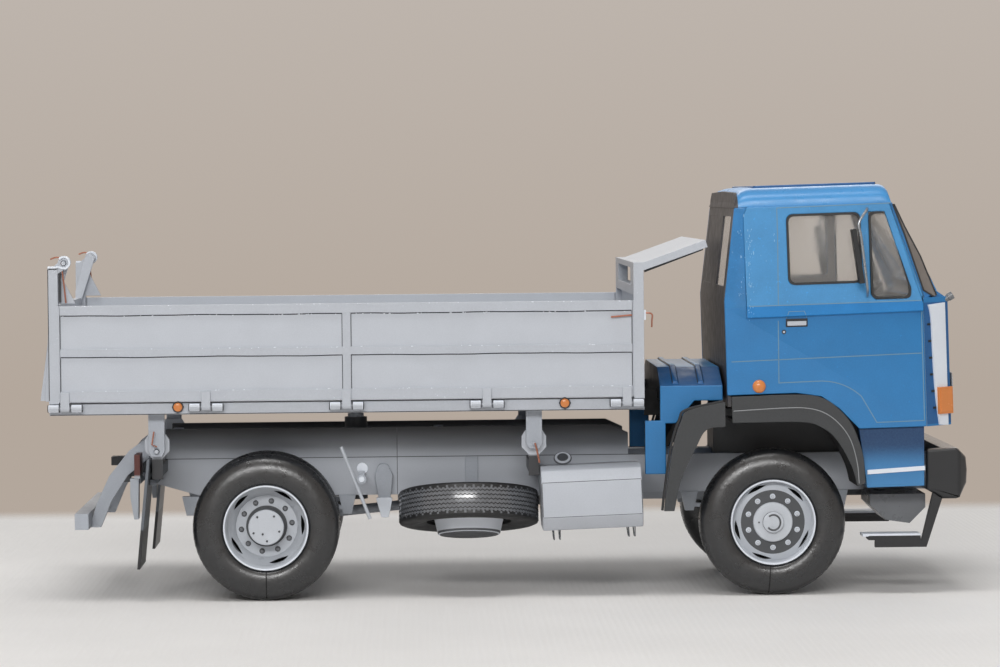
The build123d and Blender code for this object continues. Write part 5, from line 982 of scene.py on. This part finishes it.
def wheel_cone(bm, x, sign, turns, inner, slot_radius, half_width, foot_y, slope):
    """The dished ring of a wheel with its five slots; foot_y is where it meets the rim."""
    slots = [slot_outline(turn, slot_radius, 1.45, half_width) for turn in turns]
    # extra points halfway across let the flat sheet bend into a cone
    free = []
    for point in flat_circle((CONE_RADIUS + inner) / 2, 72):
        gaps = [math.hypot(point[0] - u, point[1] - v) for slot in slots for u, v in slot]
        if min(gaps) >= 0.12 and not any(inside(point, slot) for slot in slots):
            free.append(point)

    def place(u, v, height):
        depth = foot_y + (CONE_RADIUS - math.hypot(u, v)) * slope
        return (x + u, sign * (depth - height), AXLE_Z + v)

    holes = [flat_circle(inner, 72)] + slots
    add_plate(bm, flat_circle(CONE_RADIUS, 96), holes, place, 0.0, 0.2, 0, free)


def add_nuts(bm, x, sign, depth, height, start, head_mat, washer_mat):
    """Round-headed wheel nuts, each on a dark washer."""
    for i in range(NUT_COUNT):
        u, v = polar(NUT_RADIUS, 360 * i / NUT_COUNT + start)
        centre = (x + u, sign * depth, AXLE_Z + v)
        add_cylinder(bm, centre, (0, sign, 0), 0.39, height * 0.2, 14, washer_mat)
        add_cylinder(bm, centre, (0, sign, 0), 0.3, height, 8, head_mat, 0.72)


def front_middle(bm, x, sign):
    """Slotted ring, hub and nuts; on the cap a broken ring round a small disc, and a dot."""
    wheel_cone(bm, x, sign, SLOT_TURNS["front"], 4.38, 5.08, 0.24, 20.2, 0.55)
    add_lathe(bm, x, AXLE_Z, FRONT_HUB, 72, [2, 2, 0, 0, 0, 2, 0, 0, 0, 0], sign)
    add_nuts(bm, x, sign, 20.75, 0.5, 18, 0, 1)
    ring = []
    for turn in [math.radians(degrees) for degrees in range(-140, 131, 10)]:
        ring.append((x + 0.95 * math.cos(turn), sign * 21.88, AXLE_Z + 1.05 * math.sin(turn)))
    add_tube(bm, ring, 0.13, 8, 2)
    add_cylinder(bm, (x, sign * 21.8, AXLE_Z), (0, sign, 0), 0.5, 0.12, 24)
    add_cylinder(bm, (x - 1.95, sign * 21.3, AXLE_Z), (0, sign, 0), 0.13, 0.16, 10, 2)


def rear_middle(bm, x, sign):
    """Deep slotted ring, hub with its six screws, and nuts."""
    wheel_cone(bm, x, sign, SLOT_TURNS["rear"], 4.22, 5.02, 0.26, 19.5, -1.2)
    add_lathe(bm, x, AXLE_Z, REAR_HUB, 72, [0, 0, 2, 2, 2, 0, 0, 0, 0], sign)
    add_nuts(bm, x, sign, 17.95, 0.6, 7, 4, 2)
    for radius, degrees in HUB_SCREWS:
        u, v = polar(radius, degrees)
        add_cylinder(bm, (x + u, sign * 20.58, AXLE_Z + v), (0, sign, 0), 0.17, 0.22, 8, 2, 0.7)


def wheel(side, sign, end):
    """One turning wheel: its tyre, or two at the rear, and its rim."""
    front = end == "front"
    name = f"wheel_{end}_{side}"
    x = FRONT_AXLE_X if front else REAR_AXLE_X
    bm = bmesh.new()
    for middle in [OUTER_MIDDLE_Y] if front else [OUTER_MIDDLE_Y, INNER_MIDDLE_Y]:
        near = [(radius, sign * middle - half) for radius, half in WALL_PROFILE]
        far = [(radius, sign * middle + half) for radius, half in reversed(WALL_PROFILE)]
        add_lathe(bm, x, AXLE_Z, near + far, 96)
        place = around(x, AXLE_Z, TYRE_RADIUS - 0.012, sign, middle)
        tread_lines(bm, TYRE_RADIUS - 0.01, (-0.55, 0.0, 0.55), 64, place, 1)
    joint_line(bm, x, sign, -94 if front else -90)
    finish_piece(name + "_tyre", bm, name, [TYRE, SHADE_AND_LINE_BLACK], [f"tyre_{end}_{side}"], sharp=60)

    bm = bmesh.new()
    inner_end = (OUTER_MIDDLE_Y if front else INNER_MIDDLE_Y) - 2.3
    well = 20.1 if front else 19.5
    back = well - 1.0 if front else well - 3.0
    rim = [(5.88, inner_end), (5.88, 21.66), (5.84, 21.74), (5.68, 21.74), (5.6, 21.6), (5.46, well)]
    rim += [(5.3, well - 0.2), (5.3, inner_end + 0.4)]
    add_lathe(bm, x, AXLE_Z, rim, 96, [0, 0, 1, 1, 0, 0, 0, 0], sign)
    (front_middle if front else rear_middle)(bm, x, sign)
    # a black disc behind the rim: painted shade seen through its slots
    disc = [(5.3, back - 0.3), (5.3, back), (0, back), (0, back - 0.3)]
    add_lathe(bm, x, AXLE_Z, disc, 48, [3, 3, 3, 3], sign)
    rim_card = [WHEEL_GREY, WHITE, DARK_GREY, SHADE_AND_LINE_BLACK, STEEL_GREY]
    finish_piece(name + "_rim", bm, name, rim_card, [f"rim_{end}_{side}"], bevel=0.03, sharp=40)


for side, sign in SIDES.items():
    wheel(side, sign, "front")
    wheel(side, sign, "rear")


# ------------------------------------------------------------------ spare wheel, lying under the frame
spare_low, spare_high = box_mm("spare_tyre")
SPARE_MIDDLE = (spare_low + spare_high) / 2
SPARE_TURN = Matrix.Rotation(math.radians(-12), 3, "X") @ Matrix.Rotation(math.radians(-90), 3, "X")
SPARE_WALLS = [(5.92, 2.0), (7.0, 2.3), (8.2, 2.42), (9.2, 2.36), (9.6, 2.2), (9.73, 1.95)]
SPARE_DRUM = 9.735
SPARE_TEETH = 100
# the dish hangs below the tyre: Y of the lathe runs down once it is laid
SPARE_DISH = [(5.88, -2.0), (5.88, 1.6), (5.3, 1.6), (5.3, -1.2), (4.6, -1.2), (4.0, 0.9), (0, 0.9), (0, 3.7)]
SPARE_DISH += [(4.1, 3.8), (4.32, 3.7), (4.42, 3.4), (4.8, 1.7), (5.0, 1.5), (5.5, 1.5)]


def lay_spare(bm):
    """Turns a wheel built about a line along Y so that it lies at the spare wheel's place."""
    for vert in bm.verts:
        vert.co = SPARE_MIDDLE + SPARE_TURN @ vert.co


bm = bmesh.new()
profile = [(r, -h) for r, h in SPARE_WALLS] + [(r, h) for r, h in reversed(SPARE_WALLS)]
add_lathe(bm, 0, 0, profile, 120, [1] * 5 + [0] + [1] * 6)
drum = around(0, 0, SPARE_DRUM, 1, 0)
tread_lines(bm, SPARE_DRUM, (-1.2, -0.6, 0.0, 0.6, 1.2), SPARE_TEETH, drum, 2, 0.1, 0.13)
round_drum = 2 * math.pi * SPARE_DRUM
for edge in (-1.82, 1.82):
    lines = [([(round_drum * i / 48, edge) for i in range(49)], 0.3)]
    for along in [round_drum * (i + 0.5) / SPARE_TEETH for i in range(SPARE_TEETH)]:
        lines.append(([(along, edge * 0.93), (along, edge * 0.84)], 0.26))
    for points, width in lines:
        add_line(bm, points, width, drum, high=0.012, mat=2, step=STRAIGHT)
lay_spare(bm)
spare_card = [TREAD, SPARE_WALL, TREAD_INK]
finish_piece("spare_tyre_card", bm, "root", spare_card, ["spare_tyre"], sharp=50)

# the dish is mostly black, painted shade in the rim's well
bm = bmesh.new()
add_lathe(bm, 0, 0, SPARE_DISH, 72, [2] * 7 + [1, 0, 1, 0] + [2] * 3)
lay_spare(bm)
finish_piece("spare_rim_card", bm, "root", [WHITE, INK_GREY, SHADE_AND_LINE_BLACK], ["spare_rim"])


# ------------------------------------------------------------------ tipping body: boards, hinges, markers
PANEL_FACE_Y = BODY_HALF_WIDTH - 0.3
SILL_FACE_Y = BODY_HALF_WIDTH - 0.8
POST_FACE_Y = BODY_HALF_WIDTH - 0.1
BOARD_ENDS = (BOARD_LOW.x, BOARD_HIGH.x)
BOARD_BOTTOM_Z, BOARD_TOP_Z = 27.75, BOARD_HIGH.z
BOARD_MIDDLE_X = sum(BOARD_ENDS) / 2
BOARD_RAILS = [(BOARD_BOTTOM_Z, 29.2), (33.9, 34.95), (39.6, BOARD_TOP_Z)]
BOARD_STATIONS = [BOARD_ENDS[0] + (BOARD_ENDS[1] - BOARD_ENDS[0]) * i / 40 for i in range(41)]
HINGE_Z = 26.9
HINGE_Y = BODY_HALF_WIDTH - 0.05
HINGE_STATIONS = [BODY_REAR_X + 2.2 + i * (BODY_FRONT_X - BODY_REAR_X - 4.6) / 4 for i in range(5)]
MARKER_STATIONS = (-44.77, 8.18)


def wavy(x, seed):
    """A hand-cut edge wanders a little."""
    return 0.035 * (math.sin(x * 0.31 + seed) + 0.6 * math.sin(x * 0.83 + 2.1 * seed))


def side_board(side, sign):
    """A hinged board: sheet, rails, stile, painted shadow lines under the rails, dark lines at the stile and
    ends, hinge straps.
    """
    body = "side_board_" + side
    face = upright(sign, PANEL_FACE_Y)
    bm = bmesh.new()
    add_box(bm, BOARD_ENDS, (PANEL_FACE_Y - 0.8, PANEL_FACE_Y), (BOARD_BOTTOM_Z, BOARD_TOP_Z), 0, sign)
    for row, (low, high) in enumerate(BOARD_RAILS):
        lower = [(x, low + (wavy(x, row) if row else 0.0)) for x in BOARD_STATIONS]
        upper = [(x, high + (wavy(x, row + 5) if row < 2 else 0.0)) for x in reversed(BOARD_STATIONS)]
        add_plate(bm, lower + upper, [], face, -0.05, 0.3, 1)
    stile_x = (BOARD_MIDDLE_X - 0.55, BOARD_MIDDLE_X + 0.55)
    stile_z = (BOARD_BOTTOM_Z + 0.02, BOARD_TOP_Z - 0.02)
    add_box(bm, stile_x, (PANEL_FACE_Y, BODY_HALF_WIDTH - 0.01), stile_z, 1, sign)
    halves = ((BOARD_ENDS[0] + 0.1, BOARD_MIDDLE_X - 0.6), (BOARD_MIDDLE_X + 0.6, BOARD_ENDS[1] - 0.1))
    # dark lines just under the upper rails: painted shadow of the raised rails
    for row, (low, _) in enumerate(BOARD_RAILS[1:], 1):
        for near, far in halves:
            run = [near] + [x for x in BOARD_STATIONS if near < x < far] + [far]
            add_line(bm, [(x, low - 0.07 + wavy(x, row)) for x in run], 0.15, face, mat=2, step=STRAIGHT)
    uprights = [(BOARD_MIDDLE_X + run, 0.1) for run in (-0.62, 0.62)]
    uprights += [(BOARD_ENDS[0] + 0.07, 0.08), (BOARD_ENDS[1] - 0.07, 0.08)]
    for x, width in uprights:
        for (_, low), (high, _) in zip(BOARD_RAILS, BOARD_RAILS[1:]):
            add_line(bm, [(x, low + 0.05), (x, high - 0.1)], width, face, mat=3, step=STRAIGHT)
    strap = [(BODY_HALF_WIDTH - 0.1, 29.05), (BODY_HALF_WIDTH + 0.38, 29.05), (BODY_HALF_WIDTH + 0.42, 27.4)]
    strap += arc(HINGE_Y, HINGE_Z, 0.5, range(20, -221, -30)) + [(BODY_HALF_WIDTH - 0.1, 27.5)]
    for hinge_x in HINGE_STATIONS:
        add_shell(bm, [[(x, sign * y, z) for y, z in strap] for x in (hinge_x - 0.6, hinge_x + 0.6)], mat=1)
    board_card = [GREY, RIB_GREY, INK_DARK, INK_GREY]
    finish_piece(body + "_card", bm, body, board_card, [body], bevel=0.035)


for side, sign in SIDES.items():
    side_board(side, sign)

# hinge tubes, a dark line round each end
TUBE_LENGTH = 1.55
TUBE_RINGS = ((0.0, 0.4), (0.08, 0.52), (0.92, 0.52), (1.0, 0.4))  # columns: share of the length, radius


def hinge_ring(x, sign, radius, sides):
    """Points round the hinge line at a station."""
    ring = []
    for turn in [2 * math.pi * k / sides for k in range(sides)]:
        ring.append((x, sign * (HINGE_Y - 0.02 + radius * math.cos(turn)), HINGE_Z + radius * math.sin(turn)))
    return ring


bm = bmesh.new()
for sign in (RIGHT, LEFT):
    for hinge_x in HINGE_STATIONS:
        for end in (-1, 1):
            near_x = hinge_x + end * 0.78
            rings = [(near_x + end * TUBE_LENGTH * share, radius) for share, radius in TUBE_RINGS]
            add_shell(bm, [hinge_ring(x, sign, radius, 16) for x, radius in rings])
            for x in (near_x + end * 0.02, near_x + end * TUBE_LENGTH):
                add_tube(bm, hinge_ring(x, sign, 0.5, 20), 0.05, 6, 1, closed=True)
finish_piece("hinge_tubes", bm, "bed", [WHITE, INK_DARK])

bm = bmesh.new()
for sign in (RIGHT, LEFT):
    for x in MARKER_STATIONS:
        add_cylinder(bm, (x, sign * (SILL_FACE_Y - 0.02), 26.93), (0, sign, 0), 0.82, 0.3, 8, 1)
        add_dome(bm, (x, sign * (SILL_FACE_Y + 0.25), 26.93), (0, sign, 0), 0.62, 0.22)
finish_piece("side_markers", bm, "bed", [ORANGE, INK_DARK])

bm = bmesh.new()
for sign in (RIGHT, LEFT):
    for z, width in ((27.52, 0.12), (25.98, 0.1)):
        run = [(BODY_REAR_X + 0.1, z), (BODY_FRONT_X - 0.1, z)]
        add_line(bm, run, width, upright(sign, SILL_FACE_Y), -0.05, 0.02)
finish_piece("sill_seams", bm, "bed", [INK_DARK])

# posts: seams, a paper curl, a wire stay, and a dark strip under the canopy's edge, painted shade
POST_SEAMS = [
    ([(BODY_REAR_X + 0.07, 28.0), (BODY_REAR_X + 0.07, 45.9)], 0.1, -0.05, 0.02),
    ([(BODY_REAR_X + 0.1, 45.95), (BODY_REAR_X + 1.35, 45.95)], 0.14, -0.05, 0.02),
    ([(-60.63, 41.4), (-60.63, 45.4)], 0.3, -0.6, -0.35),
    ([(BODY_FRONT_X - 0.08, 28.2), (BODY_FRONT_X - 0.08, 44.8)], 0.1, -0.05, 0.02),
]
POST_CURL = [(-62.25, 46.2), (-61.3, 46.2), (-60.85, 46.25), (-60.3, 46.1), (-59.75, 46.05)]
POST_CURL += arc(-60.05, 46.85, 0.78, range(-55, 161, 18))
POST_STAY = [(-61.9, 47.3), (-61.2, 47.55), (-60.65, 47.45), (-60.4, 46.7), (-60.3, 45.6)]
POST_STAY += [(-60.05, 43.5), (-59.85, 41.3)]
CANOPY_EDGE = [(19.25, 45.0), (27.3, 47.98)]
bm = bmesh.new()
for sign in (RIGHT, LEFT):
    for points, width, low, high in POST_SEAMS:
        add_line(bm, points, width, upright(sign, POST_FACE_Y), low, high, 1)
    rings = []
    for i, (x, z) in enumerate(POST_CURL):
        before, after = Vector(POST_CURL[max(i - 1, 0)]), Vector(POST_CURL[min(i + 1, len(POST_CURL) - 1)])
        along = (after - before).normalized() * 0.13
        ends = ((22.3, 1), (22.3, -1), (23.45, -1), (23.45, 1))
        rings.append([(x - along.y * half, sign * y, z + along.x * half) for y, half in ends])
    add_shell(bm, rings, mat=2)
    add_tube(bm, smooth_run([(x, sign * 22.9, z) for x, z in POST_STAY]), 0.11, 8, 0)
    # a dark strip under the canopy's edge: painted shade
    ends = ((22.95, 0), (22.2, 0), (22.2, 0.28), (22.95, 0.28))
    add_shell(bm, [[(x, sign * y, z - drop) for y, drop in ends] for x, z in CANOPY_EDGE], mat=1)
finish_piece("post_wires", bm, "bed", [COPPER, INK_DARK, WHITE])

# latch wires of the side boards, and their plates and hooks on the front posts
LATCH_ROD = [(14.57, 38.68), (17.45, 38.92)]
LATCH_HOOK = [(BODY_FRONT_X + 0.2, 39.15), (20.0, 39.12), (20.28, 38.8), (20.22, 38.2), (20.18, 37.2)]
FILLETS = ((BODY_REAR_X + 1.35, BODY_REAR_X + 1.56), (BODY_FRONT_X - 1.56, BODY_FRONT_X - 1.35))
for side, sign in SIDES.items():
    bm = bmesh.new()
    add_tube(bm, [(x, sign * (BODY_HALF_WIDTH + 0.12), z) for x, z in LATCH_ROD], 0.13, 8, 0)
    finish_piece(f"latch_wire_{side}", bm, "side_board_" + side, [COPPER])
bm = bmesh.new()
for sign in (RIGHT, LEFT):
    add_box(bm, (BODY_FRONT_X - 0.02, BODY_FRONT_X + 0.28), (22.4, 23.3), (38.2, 39.6), 0, sign)
    add_tube(bm, smooth_run([(x, sign * 22.9, z) for x, z in LATCH_HOOK], 4), 0.12, 8, 1)
    # narrow fillets close the boards' ends against the posts
    for x in FILLETS:
        add_box(bm, x, (22.6, 23.42), (BOARD_BOTTOM_Z, BOARD_TOP_Z), 2, sign)
finish_piece("latch_plates", bm, "bed", [WHITE, COPPER, RIB_GREY], bevel=0.04)


# ------------------------------------------------------------------ glue beads along the seams of the card, white as painted glints
beads = random.Random(11)
BEAD_CLUSTERS = (-57, -49, -40, -33, -27, -24, -17, -9, -4, 3, 9, 15)
BEAD_ROWS = (40.93, 40.93, 40.5, 34.98, 39.5, 39.5, 29.25, 28.0)
RAIL_ROWS = (40.93, 34.98, 29.25)


def add_bead(bm, place, size):
    matrix = Matrix.Translation(place) @ Matrix.Diagonal((*size, 1))
    bmesh.ops.create_icosphere(bm, subdivisions=1, radius=1.0, matrix=matrix)


for side, sign in SIDES.items():
    bm = bmesh.new()
    for _ in range(190):
        x = beads.choice(BEAD_CLUSTERS) + beads.gauss(0, 2.2)
        x = min(max(x, BOARD_ENDS[0] + 0.4), BOARD_ENDS[1] - 0.4)
        row = beads.choice(BEAD_ROWS)
        size = beads.uniform(0.04, 0.09)
        y = BODY_HALF_WIDTH - 0.03 if row in RAIL_ROWS else PANEL_FACE_Y
        stretch = beads.uniform(1.0, 3.0)
        z = min(row + beads.uniform(-0.08, 0.03), BOARD_TOP_Z - 0.05)
        add_bead(bm, (x, sign * y, z), (size * stretch, size * 0.7, size))
    finish_piece(f"board_glue_{side}", bm, "side_board_" + side, [GLUE_GLINT_WHITE], sharp=80)

# glue specks where the raised skin meets the cab's rear corner, painted light as glints
for side, sign in SIDES.items():
    bm = bmesh.new()
    for i in range(84):
        if i < 52:
            x, z = beads.gauss(33.75, 0.18), beads.choice((43, 45.5, 48, 50, 39.3)) + beads.gauss(0, 1.2)
        elif i < 60:
            x, z = beads.uniform(34, 38), beads.gauss(47.5, 1.5)
        else:
            x, z = beads.gauss(32.7, 0.4), beads.uniform(41, 53)
        size = beads.uniform(0.03, 0.075)
        stretch = beads.uniform(1.0, 3.5)
        z = min(max(z, 38.0), 53.2)
        add_bead(bm, (x, sign * (cab_face(x, z) + 0.005), z), (size, size * 0.35, size * stretch))
    finish_piece(f"cab_glue_{side}", bm, "root", [BLUE_GLUE_GLINTS], sharp=80)


# ------------------------------------------------------------------ chassis fittings
TANK_LOW, TANK_HIGH = box_mm("fuel_tank")
TANK_REAR_X, TANK_FRONT_X = TANK_LOW.x, TANK_HIGH.x
TANK_SECTION = [(-11.2, 9.4), (-20.4, 9.4), (-22.0, 11.2), (-22.0, 16.1), (-21.3, 17.7), (-19.6, 18.3)]
TANK_SECTION += [(-11.2, 17.9), (-10.4, 17.2), (-10.4, 10.2)]
TANK_CORE = Vector((-16.2, 14.5))
TANK_FACE = upright(RIGHT, 22.0)
TANK_ENDS = [(TANK_REAR_X, 0.12), (TANK_REAR_X + 0.12, 0.0), (TANK_FRONT_X - 0.12, 0.0), (TANK_FRONT_X, 0.12)]
# columns: radius, foot, top, material; a filler of flat rings
FILLER_RINGS = ((1.26, 0.0, 0.2, 1), (1.1, 0.15, 0.28, 0), (0.78, 0.25, 0.34, 1), (0.7, 0.3, 0.38, 3))
bm = bmesh.new()
rings = []
for x, inset in TANK_ENDS:
    ring = []
    for y, z in rounded(TANK_SECTION, 0.55, 3):
        away = (Vector((y, z)) - TANK_CORE).normalized() * inset
        ring.append((x, y - away.x, z - away.y))
    rings.append(ring)
add_shell(bm, rings)
for x in (TANK_REAR_X + 1.9, TANK_FRONT_X - 1.6):
    add_box(bm, (x - 0.6, x + 0.6), (-10.4, -8.0), (13.6, 17.6))
    for dx in (-0.45, 0.45):
        foot = [(x + dx * 0.9, -20.0, 8.1), (x + dx * 0.9, -17.5, 8.0)]
        add_tube(bm, [(x + dx, -20.0, 9.5), *foot, (x + dx, -14.0, 9.5)], 0.1, 6, 2)
for z in (16.12, 11.32):
    add_line(bm, [(TANK_REAR_X + 0.1, z), (TANK_FRONT_X - 0.1, z)], 0.09, TANK_FACE, -0.12, mat=1)
for x in (TANK_REAR_X + 0.08, TANK_FRONT_X - 0.1):
    add_line(bm, [(x, 11.4), (x, 16.0)], 0.12, TANK_FACE, -0.12, mat=1)
filler_turn = Matrix.Rotation(math.radians(40), 3, "X")
for radius, low, high, mat in FILLER_RINGS:
    centre = Vector((TANK_REAR_X + 3.25, -16.8, 19.0)) + filler_turn @ Vector((0, 0, low))
    add_cylinder(bm, centre, filler_turn @ Vector((0, 0, 1)), radius, high - low, 28, mat)
tank_middle = Vector(((TANK_REAR_X + TANK_FRONT_X) / 2, 0, 14.5))
lean = Matrix.Rotation(math.radians(-2.0), 3, "Y")
for vert in bm.verts:
    vert.co = tank_middle + lean @ (vert.co - tank_middle)
tank_card = [GREY, INK_GREY, WIRE, DARK_GREY]
finish_piece("fuel_tank_card", bm, "root", tank_card, ["fuel_tank"], bevel=0.05)

# hanging bracket and crank of the spare wheel's winch
HANGER_ARM = [(-18.1, 16.4), (-17.5, 17.9), (-16.3, 17.9), (-15.6, 16.4), (-15.9, 13.0), (-17.6, 13.0)]
HANGER_HOOK = [(-18.0, 13.2), (-15.6, 13.2), (-16.2, 10.4), (-17.2, 10.4)]
CRANK_Y = -19.0
# columns: x, forward of the crank's plane, z, radius, length, sides, material
CRANK_DISCS = [
    (-19.7, 1.6, 17.95, 0.78, 0.7, 24, 1),
    (-19.8, -0.2, 16.55, 0.66, 0.5, 24, 0),
    (-19.8, -0.65, 16.55, 0.4, 0.25, 20, 1),
]
bm = bmesh.new()
add_plate(bm, rounded(HANGER_ARM, 0.5), [], upright(RIGHT, 8.0), 0.0, 1.1)
add_plate(bm, rounded(HANGER_HOOK, 0.3), [], upright(RIGHT, 8.0), 0.6, 1.5, 1)
add_tube(bm, [(-22.6, CRANK_Y, 21.0), (-18.7, CRANK_Y, 11.0)], 0.25, 12, 2)
add_tube(bm, [(-19.8, -8.0, 16.6), (-19.8, CRANK_Y - 0.2, 16.6)], 0.45, 14, 1)
for x, ahead, z, radius, length, sides, mat in CRANK_DISCS:
    add_cylinder(bm, (x, CRANK_Y + ahead, z), (0, -1, 0), radius, length, sides, mat)
add_box(bm, (-20.2, -19.4), (CRANK_Y - 0.25, CRANK_Y + 1.7), (16.2, 17.6))
carrier_card = [FRAME_GREY, WHITE, GREY]
finish_piece("spare_carrier_card", bm, "root", carrier_card, ["spare_carrier"], bevel=0.05)

# seams and strips on the rails, and a black plate under the headboard as painted shade
bm = bmesh.new()
for sign in (RIGHT, LEFT):
    for points, width in (([(-50.0, 18.82), (27.0, 18.82)], 0.12), ([(-14.93, 13.6), (-14.93, 22.9)], 0.1)):
        add_line(bm, points, width, upright(sign, 8.0), -0.05, 0.03)
    add_box(bm, (-5.4, -3.6), (7.95, 8.35), (13.9, 18.7), 1, sign)
    add_box(bm, (BODY_FRONT_X + 0.5, BODY_FRONT_X + 3.2), (13.0, 13.4), (24.6, 28.4), 2, sign)
finish_piece("rail_seams", bm, "root", [INK_GREY, FRAME_GREY, SHADE_AND_LINE_BLACK], bevel=0.04)

FRONT_LUG_WIRE = [(4.1, 21.1, 21.36), (4.35, 21.15, 20.4), (4.69, 21.1, 18.66)]
REAR_LUG_WIRE = [(-48.2, 21.1, 23.5), (-48.5, 21.1, 21.7), (-47.8, 21.1, 21.4)]
bm = bmesh.new()
for sign in (RIGHT, LEFT):
    for wire, radius in ((FRONT_LUG_WIRE, 0.13), (REAR_LUG_WIRE, 0.11)):
        add_tube(bm, [(x, sign * y, z) for x, y, z in wire], radius, 8)
finish_piece("lug_wires", bm, "bed", [COPPER])


# ------------------------------------------------------------------ floor, backdrop, light and camera
FLOOR_SIDE_X, FLOOR_NEAR_Y, FLOOR_END_Y, FLOOR_FADE = 1400, -1500, 130, 12
WEAVE_MM = 0.9


def floor_material(colour):
    """Plain pale cloth, woven so finely that it reads as soft; its far edge fades into the backdrop."""
    paint = Paint("floor_cloth", colour, 0.9)
    cloud = paint.spread(paint.noise(0.02, 3.0), 0.3, 0.7, 0, 1)
    paint.link(paint.mix(shade(colour, 0.96), shade(colour, 1.04), cloud), "Base Color")
    threads = []
    for direction in ("X", "Y"):
        inputs = {"Vector": paint.place, "Scale": 1 / (WEAVE_MM * MM) / 3.2, "Distortion": 1.2, "Detail": 1.0}
        threads.append(paint.node("TexWave", inputs, bands_direction=direction).outputs["Fac"])
    paint.bump(paint.highest(*threads), 0.4, 0.12)
    edge = [(FLOOR_END_Y + step) * MM for step in (-FLOOR_FADE, FLOOR_FADE)]
    paint.link(paint.spread(paint.part(paint.place, "Y"), *edge, 1, 0, True), "Alpha")
    return paint.material


floor_mesh = bpy.data.meshes.new("floor")
floor_outline = panel(-FLOOR_SIDE_X, FLOOR_SIDE_X, FLOOR_NEAR_Y, FLOOR_END_Y + FLOOR_FADE)
floor_mesh.from_pydata([(x * MM, y * MM, 0) for x, y in floor_outline], [], [(0, 1, 2, 3)])
floor_mesh.materials.append(floor_material(linear(236, 233, 230)))
floor_mesh.polygons.foreach_set("use_smooth", [True] * len(floor_mesh.polygons))
floor = bpy.data.objects.new("floor", floor_mesh)
bpy.context.scene.collection.objects.link(floor)

# world: soft even light, and a plain wall colour where it is seen or mirrored
world = bpy.data.worlds.new("studio")
bpy.context.scene.world = world
world.use_nodes = True
sky = Nodes(world.node_tree)
studio = sky.tree.nodes["Background"]
studio.inputs["Color"].default_value = (0.97, 0.985, 1.0, 1)
studio.inputs["Strength"].default_value = 0.3
rise = sky.spread(sky.part(sky.node("TexCoord").outputs["Generated"], "Z"), -0.05, 0.05, 0, 1)
wall = sky.node("Background", {"Color": sky.mix(linear(179, 167, 156), linear(189, 180, 172), rise)})
rays = sky.node("LightPath").outputs
seen = sky.highest(sky.highest(rays["Is Camera Ray"], rays["Is Glossy Ray"]), rays["Is Transmission Ray"])
blend = sky.node("MixShader", {0: seen, 1: studio.outputs[0], 2: wall.outputs[0]})
sky.tree.links.new(blend.outputs[0], sky.tree.nodes["World Output"].inputs["Surface"])


def area_lamp(name, place, size, watts):
    """A rectangular lamp aimed at the model's lower middle, in metres."""
    data = bpy.data.lights.new(name, "AREA")
    data.shape = "RECTANGLE"
    data.size, data.size_y = size
    data.energy = watts
    lamp = bpy.data.objects.new(name, data)
    lamp.location = place
    lamp.rotation_euler = (Vector((0, 0, 0.02)) - Vector(place)).to_track_quat("-Z", "Y").to_euler()
    bpy.context.scene.collection.objects.link(lamp)


area_lamp("top_light", (-0.08, -0.2, 0.75), (0.4, 0.25), 2.3)
area_lamp("front_light", (-0.1, -0.78, 0.37), (0.5, 0.12), 3.2)
area_lamp("rear_light", (0.1, 0.8, 0.4), (0.6, 0.3), 1.1)

# camera: where it stands, in millimetres, and how it is turned, in degrees
CAMERA_PLACE = Vector((-12.545, -561.17, 55.53))
YAW, PITCH, ROLL = (math.radians(angle) for angle in (1.26937, 2.01923, -0.547199))
ahead = Vector((math.sin(YAW) * math.cos(PITCH), math.cos(YAW) * math.cos(PITCH), -math.sin(PITCH)))
level = Vector((math.cos(YAW), -math.sin(YAW), 0))
upward = level.cross(ahead)
across = level * math.cos(ROLL) + upward * math.sin(ROLL)
above = upward * math.cos(ROLL) - level * math.sin(ROLL)
lens = bpy.data.cameras.new("camera")
lens.lens = 141.677
lens.sensor_width = 36
lens.clip_start = 0.01
camera = bpy.data.objects.new("camera", lens)
turned_axes = Matrix((across, above, -ahead)).transposed().to_4x4()
camera.matrix_world = Matrix.Translation(CAMERA_PLACE * MM) @ turned_axes
bpy.context.scene.collection.objects.link(camera)
bpy.context.scene.camera = camera
bpy.context.scene.view_settings.view_transform = "Standard"
